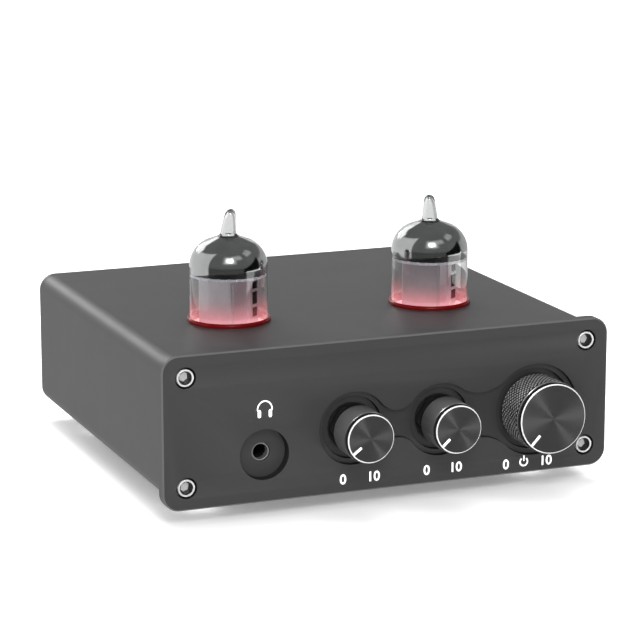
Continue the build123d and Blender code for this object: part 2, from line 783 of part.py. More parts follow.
def make_tube_mounting(name, x):
    """Red collar in the case top and the socket that stands on the board below."""
    with BuildPart() as collar:
        with BuildSketch(lathe_z(x, TUBE_Y)):
            with BuildLine():
                Polyline(
                    (COLLAR_BORE, CASE_TOP - CASE_WALL), (COLLAR_SLEEVE, CASE_TOP - CASE_WALL),
                    (COLLAR_SLEEVE, CASE_TOP), (COLLAR_RADIUS, CASE_TOP),
                    (COLLAR_RADIUS, CASE_TOP + 0.55), (COLLAR_RADIUS - 0.3, CASE_TOP + COLLAR_RISE),
                    (COLLAR_BORE, CASE_TOP + COLLAR_RISE), (COLLAR_BORE, CASE_TOP - CASE_WALL),
                )
            make_face()
        revolve(axis=axis_z(x, TUBE_Y))
    keep(collar, f"{name}_collar")
    deck = SEAT_Z - SOCKET_GAP
    underside = deck - SOCKET_HEIGHT
    with BuildPart() as socket:
        with BuildSketch(level(underside)):
            with Locations((x, TUBE_Y)):
                Circle(SOCKET_RADIUS)
        extrude(amount=SOCKET_HEIGHT)
        chamfer(socket.edges().group_by(Axis.Z)[-1], 0.6)
        with BuildSketch(level(BOARD_TOP)):
            with Locations((x, TUBE_Y)):
                Circle(RISER_RADIUS)
                Circle(RISER_BORE, mode=Mode.SUBTRACT)
        extrude(amount=underside - BOARD_TOP)
        with BuildSketch(level(underside)):
            with Locations((x, TUBE_Y)):
                Circle(LED_RADIUS + 0.2)
            with Locations(*pin_points(x)):
                Circle(SOCKET_PIN_HOLE)
        extrude(amount=SOCKET_HEIGHT, mode=Mode.SUBTRACT)
    keep(socket, f"{name}_socket")


def make_socket_contacts():
    """Spring sleeves that take the tube pins, with tails down to the board."""
    deck = SEAT_Z - SOCKET_GAP
    sleeve_low = SEAT_Z - PIN_LENGTH - 0.6
    with BuildPart() as contacts:
        for _, x, _ in TUBES:
            with BuildSketch(level(BOARD_TOP)):
                with Locations(*pin_points(x)):
                    Circle(0.4)
            extrude(amount=sleeve_low - BOARD_TOP)
            with BuildSketch(level(sleeve_low)):
                with Locations(*pin_points(x)):
                    Circle(SLEEVE_RADIUS)
            extrude(amount=deck - 0.3 - sleeve_low)
            with BuildSketch(level(sleeve_low + 0.3)):
                with Locations(*pin_points(x)):
                    Circle(PIN_RADIUS + 0.05)
            extrude(amount=deck - sleeve_low, mode=Mode.SUBTRACT)
    keep(contacts, "tube_socket_contacts")


def make_leds():
    """A red glow lamp under the middle of each tube."""
    flange = SEAT_Z - SOCKET_HEIGHT - 1.4
    rise = flange + LED_LENGTH
    with BuildPart() as leds:
        for _, x, _ in TUBES:
            with BuildSketch(lathe_z(x, TUBE_Y)):
                with BuildLine():
                    Polyline(
                        (0, flange), (LED_FLANGE, flange), (LED_FLANGE, flange + 1.0),
                        (LED_RADIUS, flange + 1.0), (LED_RADIUS, rise),
                    )
                    ThreePointArc(
                        (LED_RADIUS, rise), (LED_RADIUS * cos(pi / 4), rise + LED_RADIUS * sin(pi / 4)),
                        (0, rise + LED_RADIUS),
                    )
                    Line((0, rise + LED_RADIUS), (0, flange))
                make_face()
            revolve(axis=axis_z(x, TUBE_Y))
            with BuildSketch(level(BOARD_TOP)):
                with Locations((x - 1.27, TUBE_Y), (x + 1.27, TUBE_Y)):
                    Rectangle(0.5, 0.5)
            extrude(amount=flange - BOARD_TOP)
    keep(leds, "tube_leds")


def make_tubes():
    """Both tubes with all they hold, and what they plug into."""
    for name, x, turn in TUBES:
        make_tube_glass(name, x)
        make_tube_pins(name, x)
        make_tube_cage(name, x, turn)
        make_tube_mounting(name, x)
    make_socket_contacts()
    make_leds()


# ================================================================ board and rear
def rca_points():
    """The four phono socket centres, as (x, z): the input pair, then the output pair."""
    return [
        (middle + side * RCA_SPACING / 2, RCA_Z)
        for middle in (RCA_INPUT_X, RCA_OUTPUT_X) for side in (-1, 1)
    ]


def make_board():
    """Main circuit board that slides in the case slots, and the parts soldered to it."""
    board_front = PANEL_BACK + LAND_DEPTH + 0.5
    with BuildPart() as board:
        with BuildSketch(level(BOARD_TOP - BOARD_THICKNESS)):
            with Locations((0, board_front + BOARD_DEPTH / 2)):
                Rectangle(BOARD_WIDTH, BOARD_DEPTH)
        extrude(amount=BOARD_THICKNESS)
    keep(board, "main_board")
    with BuildPart() as cans:
        with BuildSketch(level(BOARD_TOP)):
            with Locations(*SMALL_CANS):
                Circle(SMALL_CAN_RADIUS)
            with Locations(*LARGE_CANS):
                Circle(LARGE_CAN_RADIUS)
        extrude(amount=CAN_HEIGHT)
        fillet(cans.edges().group_by(Axis.Z)[-1], 0.6)
    keep(cans, "electrolytic_capacitors")
    with BuildPart() as films:
        with BuildSketch(level(BOARD_TOP)):
            with Locations((0, 4)):
                with GridLocations(*FILM_PITCH, 3, 3):
                    Rectangle(*FILM_SIZE[:2])
        extrude(amount=FILM_SIZE[2])
    keep(films, "film_capacitors")
    with BuildPart() as chips:
        with BuildSketch(level(BOARD_TOP + 0.5)):
            with Locations(*CHIPS):
                Rectangle(*CHIP_SIZE[:2])
        extrude(amount=CHIP_SIZE[2])
        with BuildSketch(level(BOARD_TOP)):
            with Locations(*CHIPS):
                with GridLocations(CHIP_PIN_PITCH, CHIP_SIZE[1] + 0.6, 4, 2):
                    Rectangle(0.5, 0.8)
        extrude(amount=1.9)
    keep(chips, "op_amps")


def make_rca_block(label, middle):
    """Moulded housing that carries one pair of phono sockets behind the rear plate."""
    front = CASE_BACK - 0.05 - RCA_BLOCK_DEPTH
    height = RCA_Z + 6.0 - BOARD_TOP
    with BuildPart() as block:
        with BuildSketch(upright(front + RCA_BLOCK_DEPTH)):
            with Locations((middle, BOARD_TOP + height / 2)):
                Rectangle(2 * RCA_SPACING - 0.6, height)
        extrude(amount=RCA_BLOCK_DEPTH)
        chamfer(block.edges().filter_by(Axis.Y), 0.8)
        with BuildSketch(upright(front + RCA_BLOCK_DEPTH)):
            with Locations((middle - RCA_SPACING / 2, RCA_Z), (middle + RCA_SPACING / 2, RCA_Z)):
                Circle(RCA_NECK + SLACK)
        extrude(amount=RCA_DEPTH, mode=Mode.SUBTRACT)
    keep(block, label)


def make_rca_parts():
    """Plated shells, moulded inserts and centre contacts of the four phono sockets."""
    inner_end = CASE_BACK - RCA_DEPTH
    shoulder = REAR_Y + RCA_STEP
    insert_end = REAR_END - 0.8
    contact_end = REAR_END - 1.2
    contact_radius = RCA_PIN_BORE + RCA_PIN_WALL
    with BuildPart() as shells:
        for radius, start, end in ((RCA_RADIUS, shoulder, REAR_END), (RCA_NECK, inner_end, shoulder)):
            with BuildSketch(upright(end)):
                with Locations(*rca_points()):
                    Circle(radius)
                    Circle(RCA_BORE, mode=Mode.SUBTRACT)
            extrude(amount=end - start)
    keep(shells, "rca_shells")
    for label, side in (("rca_left_inserts", 1), ("rca_right_inserts", -1)):
        centres = [(middle + side * RCA_SPACING / 2, RCA_Z) for middle in (RCA_INPUT_X, RCA_OUTPUT_X)]
        with BuildPart() as inserts:
            with BuildSketch(upright(insert_end)):
                with Locations(*centres):
                    Circle(RCA_BORE - SLACK / 2)
                    Circle(contact_radius + SLACK, mode=Mode.SUBTRACT)
            extrude(amount=insert_end - inner_end)
        keep(inserts, label)
    with BuildPart() as contacts:
        with BuildSketch(upright(contact_end)):
            with Locations(*rca_points()):
                Circle(contact_radius)
                Circle(RCA_PIN_BORE, mode=Mode.SUBTRACT)
        extrude(amount=contact_end - inner_end)
    keep(contacts, "rca_contacts")


def make_dc_jack():
    """Barrel power socket with its centre pin."""
    back = CASE_BACK - 0.05
    mouth = REAR_Y + 0.6
    width, depth = DC_BODY
    height = DC_Z + 5.2 - BOARD_TOP
    with BuildPart() as jack:
        with BuildSketch(upright(back)):
            with Locations((DC_X, BOARD_TOP + height / 2)):
                Rectangle(width, height)
        extrude(amount=depth)
        with BuildSketch(upright(mouth)):
            with Locations((DC_X, DC_Z)):
                Circle(DC_NOSE)
        extrude(amount=mouth - back)
        with BuildSketch(upright(mouth)):
            with Locations((DC_X, DC_Z)):
                Circle(DC_BORE)
        extrude(amount=DC_BORE_DEPTH, mode=Mode.SUBTRACT)
    keep(jack, "dc_jack")
    with BuildPart() as pin:
        with BuildSketch(upright(mouth - 1.0)):
            with Locations((DC_X, DC_Z)):
                Circle(DC_PIN)
        extrude(amount=DC_BORE_DEPTH - 1.0)
        fillet(pin.faces().sort_by(Axis.Y)[-1].edges(), 0.5)
    keep(pin, "dc_jack_pin")


def hexagon(x, z, across_flats, bore):
    """Hexagon with a round hole, in the sketch that is open."""
    with Locations((x, z)):
        RegularPolygon(across_flats / 2, 6, major_radius=False)
        Circle(bore, mode=Mode.SUBTRACT)


def make_ground_post():
    """Threaded stud, lock nut, clamp washer and the thumb nut that screws along it."""
    head_radius, head_depth = STUD_HEAD
    nut_out = REAR_Y + LOCK_NUT_THICKNESS
    washer_in = nut_out + 0.05
    washer_out = washer_in + GROUND_WASHER_THICKNESS
    thumb_in = washer_out + 0.05
    thumb_out = thumb_in + THUMB_LENGTH
    thumb_bore = STUD_RADIUS + STUD_GAP
    with BuildPart() as stud:
        with BuildSketch(lathe_y(GROUND_X, RCA_Z)):
            with BuildLine():
                Polyline(
                    (0, REAR_END), (STUD_RADIUS - STUD_EDGE, REAR_END), (STUD_RADIUS, REAR_END - STUD_EDGE),
                    (STUD_RADIUS, CASE_BACK), (head_radius, CASE_BACK), (head_radius, CASE_BACK - head_depth),
                    (0, CASE_BACK - head_depth), (0, REAR_END),
                )
            make_face()
        revolve(axis=axis_y(GROUND_X, RCA_Z))
    keep(stud, "ground_stud")
    with BuildPart() as lock_nut:
        with BuildSketch(upright(nut_out)):
            hexagon(GROUND_X, RCA_Z, LOCK_NUT_FLATS, STUD_RADIUS + SLACK)
        extrude(amount=LOCK_NUT_THICKNESS)
    keep(lock_nut, "ground_lock_nut")
    with BuildPart() as washer:
        with BuildSketch(upright(washer_out)):
            with Locations((GROUND_X, RCA_Z)):
                Circle(GROUND_WASHER_RADIUS)
                Circle(STUD_RADIUS + 0.2, mode=Mode.SUBTRACT)
        extrude(amount=GROUND_WASHER_THICKNESS)
    keep(washer, "ground_washer")
    with BuildPart() as thumb_nut:
        with BuildSketch(lathe_y(GROUND_X, RCA_Z)):
            with BuildLine():
                Polyline(
                    (thumb_bore, thumb_in), (THUMB_NECK, thumb_in), (THUMB_NECK, thumb_in + 0.8),
                    (THUMB_RADIUS, thumb_in + 1.0), (THUMB_RADIUS, thumb_out - 0.3),
                    (THUMB_RADIUS - 0.3, thumb_out), (thumb_bore, thumb_out), (thumb_bore, thumb_in),
                )
            make_face()
        revolve(axis=axis_y(GROUND_X, RCA_Z))
    keep(thumb_nut, "ground_thumb_nut")


def main():
    """Write every sub-part."""
    make_case_sleeve()
    make_front_panel()
    make_rear_panel()
    make_screws("front_panel_screws", FACE_Y + COUNTERBORE_DEPTH, -1)
    make_screws("rear_panel_screws", REAR_Y, 1)
    make_feet()
    make_controls()
    make_headphone_jack()
    make_tubes()
    make_board()
    make_rca_block("rca_input_block", RCA_INPUT_X)
    make_rca_block("rca_output_block", RCA_OUTPUT_X)
    make_rca_parts()
    make_dc_jack()
    make_ground_post()


main()
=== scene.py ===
"""Desktop phono preamp with two miniature tubes, dressed for rendering.

All sizes in this file are millimetres in the frame of the whole object: X to the right, Y to the
back and Z up from the table. They become metres where a mesh, light or material is made.
"""
from __future__ import annotations

import logging
import math
from dataclasses import asdict, dataclass, fields
from enum import Enum, IntEnum
from functools import cached_property
from typing import Callable, Sequence

import bmesh
import bpy
from mathutils import Matrix, Vector
from mathutils.geometry import tessellate_polygon

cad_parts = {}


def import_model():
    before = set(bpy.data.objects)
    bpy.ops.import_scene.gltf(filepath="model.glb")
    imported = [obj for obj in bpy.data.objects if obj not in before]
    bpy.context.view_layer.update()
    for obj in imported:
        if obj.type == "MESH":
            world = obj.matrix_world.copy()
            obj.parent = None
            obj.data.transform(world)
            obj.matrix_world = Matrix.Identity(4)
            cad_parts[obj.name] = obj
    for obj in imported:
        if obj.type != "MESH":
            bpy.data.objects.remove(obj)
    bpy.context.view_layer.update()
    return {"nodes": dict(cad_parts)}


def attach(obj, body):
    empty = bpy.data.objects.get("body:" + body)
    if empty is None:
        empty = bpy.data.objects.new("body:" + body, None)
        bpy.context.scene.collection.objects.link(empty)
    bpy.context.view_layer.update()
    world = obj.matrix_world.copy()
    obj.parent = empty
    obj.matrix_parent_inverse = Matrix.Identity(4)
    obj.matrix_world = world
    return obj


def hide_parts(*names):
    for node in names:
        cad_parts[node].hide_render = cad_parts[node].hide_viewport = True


log = logging.getLogger("preamp")

MM = 0.001
FULL_TURN = 2 * math.pi
SHARP_ANGLE = 32.0
GLASS_SHARP_ANGLE = 60.0
WELD = 2e-7
TINY = 1e-6
Point = tuple[float, float, float]
Flat = tuple[float, float]
Colour = tuple[float, float, float]
Corner = tuple[float, ...]
Socket = bpy.types.NodeSocket
Wave = Callable[[float, float], float]
BLACK: Colour = (0.0, 0.0, 0.0)


# ======== places shared by everything
@dataclass(frozen=True)
class Layout:
    """Main places of the object that several sub-assemblies share."""

    face_y: float = -51.0
    panel_back: float = -48.0
    land_back: float = -46.5
    case_back: float = 49.3
    rear_y: float = 51.3
    rear_end: float = 61.2
    mid_z: float = 21.8
    case_top: float = 38.5
    case_width: float = 108.5
    case_height: float = 33.4
    case_corner: float = 4.0
    case_wall: float = 1.6
    screw_x: float = 49.9
    screw_rise: float = 12.75
    knob_z: float = 19.0
    tube_y: float = -15.5
    tube_x: Flat = (-26.8, 25.1)

    def screws(self) -> list[Flat]:
        """The four screw centres, as (x, z)."""
        return [
            (sx * self.screw_x, self.mid_z + sz * self.screw_rise)
            for sx in (-1, 1) for sz in (-1, 1)
        ]


LAYOUT = Layout()


class Turned(Enum):
    """Which way the axis of a turned piece lies."""

    ALONG_Y = "y"
    UPRIGHT = "z"


# ======== drawing meshes
@dataclass(frozen=True)
class Turn:
    """One corner of a turned profile: radius, place along the axis, rounding and finish slot."""

    radius: float
    along: float
    soft: float = 0.0
    slot: int = 0


def rounded_profile(corners: Sequence[Turn], steps: int = 4) -> list[Turn]:
    """Round the soft corners of a profile.

    Args:
        corners: the profile's corners in order.
        steps: straight pieces in each rounding.

    Returns:
        The profile with each soft corner replaced by points on its arc.
    """
    result: list[Turn] = []
    for index, corner in enumerate(corners):
        if corner.soft <= 0 or index in (0, len(corners) - 1):
            result.append(corner)
            continue
        here = Vector((corner.radius, corner.along))
        before, after = (
            Vector((corners[index + way].radius, corners[index + way].along)) - here
            for way in (-1, 1)
        )
        reach = min(corner.soft, before.length * 0.49, after.length * 0.49)
        start = here + before.normalized() * reach
        end = here + after.normalized() * reach
        for step in range(steps + 1):
            t = step / steps
            spot = start * (1 - t) ** 2 + here * (2 * t * (1 - t)) + end * t**2
            slot = corners[index - 1].slot if step < steps / 2 else corner.slot
            result.append(Turn(spot.x, spot.y, 0.0, slot))
    return result


def polar(centre: Flat, radius: float, angle: float) -> Flat:
    """Point at a radius and an angle, in radians, from a centre."""
    return centre[0] + radius * math.cos(angle), centre[1] + radius * math.sin(angle)


def circle(centre: Flat, radius: float, count: int = 64) -> list[Flat]:
    """Points of a circle, anticlockwise from its right side."""
    return [polar(centre, radius, FULL_TURN * i / count) for i in range(count)]


def hexagon(centre: Flat, across: float, turn: float) -> list[Flat]:
    """Corners of a hexagon, from its width across flats and the angle of its first corner."""
    radius = across / math.sqrt(3)
    return [polar(centre, radius, turn + math.pi * i / 3) for i in range(6)]


def soft_box(
    centre: Flat, width: float, height: float, corner: float, steps: int = 12,
) -> list[Flat]:
    """Outline of a rectangle with round corners.

    Args:
        centre: its middle.
        width: overall width.
        height: overall height.
        corner: corner radius.
        steps: straight pieces in each corner.

    Returns:
        The points, anticlockwise from the right end of the upper right corner.
    """
    points: list[Flat] = []
    for quarter, (sx, sz) in enumerate(((1, 1), (-1, 1), (-1, -1), (1, -1))):
        middle = (centre[0] + sx * (width / 2 - corner), centre[1] + sz * (height / 2 - corner))
        points += [
            polar(middle, corner, math.pi / 2 * (quarter + step / steps))
            for step in range(steps + 1)
        ]
    return points


class Draft:
    """A mesh being drawn in millimetres, turned into one Blender object at the end."""

    def __init__(self) -> None:
        """Start with nothing drawn."""
        self.points: list[Point] = []
        self.faces: list[tuple[tuple[int, ...], int, bool, bool]] = []

    def ring(self, points: Sequence[Point]) -> list[int]:
        """Add points.

        Args:
            points: the points of one ring.

        Returns:
            Their numbers in the mesh.
        """
        start = len(self.points)
        self.points.extend(points)
        return list(range(start, len(self.points)))

    def flat_ring(self, outline: Sequence[Flat], y: float) -> list[int]:
        """Add an outline that faces the front, at depth y."""
        return self.ring([(px, y, pz) for px, pz in outline])

    def level_ring(self, outline: Sequence[Flat], z: float) -> list[int]:
        """Add a level outline, at height z."""
        return self.ring([(px, py, z) for px, py in outline])

    def strip(
        self, first: Sequence[int], second: Sequence[int], slot: int = 0, smooth: bool = True,
        skip: Sequence[int] = (),
    ) -> None:
        """Join two closed rings of the same length with a band of quads.

        Args:
            first: one ring.
            second: the other ring.
            slot: finish slot of the band.
            smooth: whether the band is shaded smooth.
            skip: segments left open, by number.
        """
        count = len(first)
        for i in range(count):
            if i not in skip:
                j = (i + 1) % count
                self.faces.append(((first[i], first[j], second[j], second[i]), slot, smooth, False))

    def face(self, corners: Sequence[int], slot: int = 0) -> None:
        """Add one flat face."""
        self.faces.append((tuple(corners), slot, False, False))

    def region(self, outlines: Sequence[Sequence[int]], slot: int = 0) -> None:
        """Fill the flat area inside the first ring and outside the others.

        Args:
            outlines: the outer ring, then the rings of the holes.
            slot: finish slot of the area.
        """
        loops = [[Vector(self.points[i]) for i in ring] for ring in outlines]
        numbers = [i for ring in outlines for i in ring]
        for triangle in tessellate_polygon(loops):
            self.face([numbers[i] for i in triangle], slot)

    def lathe(
        self, profile: Sequence[Turn], centre: Flat, axis: Turned = Turned.ALONG_Y, count: int = 96,
        cavity: bool = False, wave: Wave | None = None,
    ) -> None:
        """Turn a profile about an axis.

        Args:
            profile: corners from one end to the other.
            centre: (x, z) of an axis along Y, or (x, y) of an upright one.
            axis: which way the axis lies.
            count: segments round the axis.
            cavity: whether the surface is the wall of an inner hollow.
            wave: change of radius from the angle and the place along the axis.
        """
        rings: list[list[int]] = []
        for corner in profile:
            if corner.radius < TINY:
                rings.append(self.ring([self._spin(0.0, corner.along, 0.0, centre, axis)]))
                continue
            spots = []
            for i in range(count):
                angle = FULL_TURN * i / count
                extra = wave(angle, corner.along) if wave else 0.0
                spots.append(self._spin(corner.radius + extra, corner.along, angle, centre, axis))
            rings.append(self.ring(spots))
        for corner, a, b in zip(profile, rings, rings[1:]):
            if len(a) == 1 and len(b) == 1:
                continue
            for k in range(count):
                n = (k + 1) % count
                if len(a) == 1:
                    face: tuple[int, ...] = (a[0], b[k], b[n])
                elif len(b) == 1:
                    face = (a[k], a[n], b[0])
                else:
                    face = (a[k], a[n], b[n], b[k])
                self.faces.append((face, corner.slot, True, cavity))

    @staticmethod
    def _spin(radius: float, along: float, angle: float, centre: Flat, axis: Turned) -> Point:
        """Place one point of a turned surface."""
        across, up = polar(centre, radius, angle)
        return (across, along, up) if axis is Turned.ALONG_Y else (across, up, along)

    def wire(self, path: Sequence[Point], radius: float, count: int = 8) -> None:
        """Run a round wire along a path and close its ends.

        Args:
            path: points of the wire's middle.
            radius: the wire's radius.
            count: sides of the wire.
        """
        rings = []
        side = Vector((0, 0, 1))
        for i, spot in enumerate(path):
            ahead = Vector(path[min(i + 1, len(path) - 1)]) - Vector(path[max(i - 1, 0)])
            ahead.normalize()
            across = ahead.cross(side)
            if across.length < 1e-3:
                across = ahead.cross(Vector((1, 0, 0)))
            across.normalize()
            side = across.cross(ahead)
            rings.append(self.ring([
                tuple(Vector(spot) + radius * (across * math.cos(a) + side * math.sin(a)))
                for a in (FULL_TURN * k / count for k in range(count))
            ]))
        for first, second in zip(rings, rings[1:]):
            self.strip(first, second)
        self.face(rings[0])
        self.face(rings[-1])

    def finish(
        self, name: str, looks: Sequence[bpy.types.Material], sharp: float = SHARP_ANGLE,
    ) -> bpy.types.Object:
        """Close the mesh, in metres, with its normals pointing out.

        Args:
            name: name of the new object.
            looks: its materials, by slot.
            sharp: angle in degrees above which an edge is shaded sharp.

        Returns:
            The new object, linked to the scene.
        """
        mesh = bpy.data.meshes.new(name)
        draft = bmesh.new()
        corners = [draft.verts.new(Vector(p) * MM) for p in self.points]
        cavity: list[bmesh.types.BMFace] = []
        for indices, slot, smooth, hollow in self.faces:
            if len(set(indices)) < 3:
                continue
            try:
                face = draft.faces.new([corners[i] for i in indices])
            except ValueError:
                continue
            face.material_index = slot
            face.smooth = smooth
            if hollow:
                cavity.append(face)
        bmesh.ops.recalc_face_normals(draft, faces=draft.faces[:])
        if cavity:
            bmesh.ops.reverse_faces(draft, faces=cavity)
        bmesh.ops.remove_doubles(draft, verts=draft.verts[:], dist=WELD)
        if not cavity:
            bmesh.ops.recalc_face_normals(draft, faces=draft.faces[:])
        draft.to_mesh(mesh)
        draft.free()
        mesh.set_sharp_from_angle(angle=math.radians(sharp))
        for look in looks:
            mesh.materials.append(look)
        return linked(name, mesh)


def linked(name: str, data: bpy.types.ID) -> bpy.types.Object:
    """Make an object and link it to the scene.

    Args:
        name: its name.
        data: its mesh, lamp or camera.

    Returns:
        The new object.
    """
    made = bpy.data.objects.new(name, data)
    bpy.context.scene.collection.objects.link(made)
    return made


# ======== drawing shader trees
class Graph:
    """Short hand for one node tree."""

    def __init__(self, tree: bpy.types.NodeTree) -> None:
        """Work on the given tree."""
        self.tree = tree

    def node(
        self, kind: str, inputs: dict[str, object] | None = None, **settings: object,
    ) -> bpy.types.Node:
        """Add a node.

        Args:
            kind: Blender's name of the node type.
            inputs: values or sockets for its inputs, by name.
            settings: its own properties.

        Returns:
            The new node.
        """
        made = self.tree.nodes.new(kind)
        for key, value in settings.items():
            setattr(made, key, value)
        self.fill(made, inputs or {})
        return made

    def feed(self, target: Socket, value: object) -> None:
        """Link a socket to an input, or set the input's value.

        Args:
            target: the input.
            value: another node's output, or a plain value.
        """
        if isinstance(value, bpy.types.NodeSocket):
            self.tree.links.new(value, target)
        else:
            target.default_value = value

    def fill(self, node: bpy.types.Node, inputs: dict[str, object]) -> None:
        """Feed several inputs of a node, by name."""
        for key, value in inputs.items():
            self.feed(node.inputs[key], value)

    def effect(self, tree: bpy.types.NodeTree, inputs: dict[str, object]) -> dict[str, Socket]:
        """Place a shared node group and give back its outputs, by name."""
        return dict(self.node("ShaderNodeGroup", inputs, node_tree=tree).outputs.items())

    def spot(self) -> Socket:
        """Place on the object, in metres."""
        return self.node("ShaderNodeTexCoord").outputs["Object"]

    def split(self, value: Socket) -> Sequence[Socket]:
        """Take a vector apart.

        Args:
            value: the vector.

        Returns:
            Its three parts.
        """
        parts = self.node("ShaderNodeSeparateXYZ")
        self.feed(parts.inputs[0], value)
        return parts.outputs

    def sum(self, how: str, first: object, second: object = 0.0) -> Socket:
        """Do one piece of arithmetic.

        Args:
            how: Blender's name for the operation.
            first: first operand.
            second: second operand.

        Returns:
            The result.
        """
        made = self.node("ShaderNodeMath", operation=how)
        for target, value in zip(made.inputs, (first, second, 0.0)):
            self.feed(target, value)
        return made.outputs[0]

    def blend(self, factor: object, first: object, second: object, how: str = "MIX") -> Socket:
        """Mix two colours.

        Args:
            factor: share of the second colour.
            first: first colour.
            second: second colour.
            how: Blender's name for the way of mixing.

        Returns:
            The mixed colour.
        """
        made = self.node("ShaderNodeMix", data_type="RGBA", blend_type=how)
        for index, value in ((0, factor), (6, first), (7, second)):
            self.feed(made.inputs[index], value)
        return made.outputs[2]

    def spread(
        self, value: object, low: float, high: float, to_low: float, to_high: float,
    ) -> Socket:
        """Map a value from one range to another, held at both ends.

        Args:
            value: the value.
            low: start of its range.
            high: end of its range.
            to_low: result at the start.
            to_high: result at the end.

        Returns:
            The mapped value.
        """
        return self.node("ShaderNodeMapRange", {
            "Value": value, "From Min": low, "From Max": high, "To Min": to_low, "To Max": to_high,
        }).outputs["Result"]

    def tint(self, colour: object, tone: Socket) -> Socket:
        """Darken or lighten a colour.

        Args:
            colour: the colour.
            tone: 1 leaves it as it is.

        Returns:
            The changed colour.
        """
        grey = self.node("ShaderNodeCombineColor")
        for channel in grey.inputs:
            self.feed(channel, tone)
        return self.blend(1.0, colour, grey.outputs[0], "MULTIPLY")

    def bump(self, height: Socket, relief: float, strength: float = 1.0) -> Socket:
        """Give a surface a fine relief.

        Args:
            height: height of the relief, 0 to 1.
            relief: its depth in millimetres.
            strength: share of the effect.

        Returns:
            The normal.
        """
        return self.node("ShaderNodeBump", {
            "Height": height, "Distance": relief * MM, "Strength": strength,
        }).outputs["Normal"]


def rgba(colour: Colour) -> tuple[float, float, float, float]:
    """Give a colour its fourth channel."""
    return (*colour, 1.0)


def blank_look(name: str) -> tuple[bpy.types.Material, Graph, bpy.types.Node]:
    """Make an empty material.

    Args:
        name: its name.

    Returns:
        The material, short hand for its tree, and its shader.
    """
    look = bpy.data.materials.new(name)
    look.use_nodes = True
    return look, Graph(look.node_tree), look.node_tree.nodes["Principled BSDF"]


def blank_group(
    name: str, inputs: dict[str, object], outputs: Sequence[str],
) -> tuple[Graph, dict[str, Socket], bpy.types.Node]:
    """Make an empty node group with named sockets.

    Args:
        name: its name.
        inputs: the inputs and what they hold at first; a tuple makes a vector.
        outputs: the outputs, all of them numbers.

    Returns:
        Short hand for its tree, its inputs by name, and the node that takes its outputs.
    """
    tree = bpy.data.node_groups.new(name, "ShaderNodeTree")
    for label, value in inputs.items():
        kind = "NodeSocketVector" if isinstance(value, tuple) else "NodeSocketFloat"
        tree.interface.new_socket(label, in_out="INPUT", socket_type=kind).default_value = value
    for label in outputs:
        tree.interface.new_socket(label, in_out="OUTPUT", socket_type="NodeSocketFloat")
    g = Graph(tree)
    return g, dict(g.node("NodeGroupInput").outputs.items()), g.node("NodeGroupOutput")


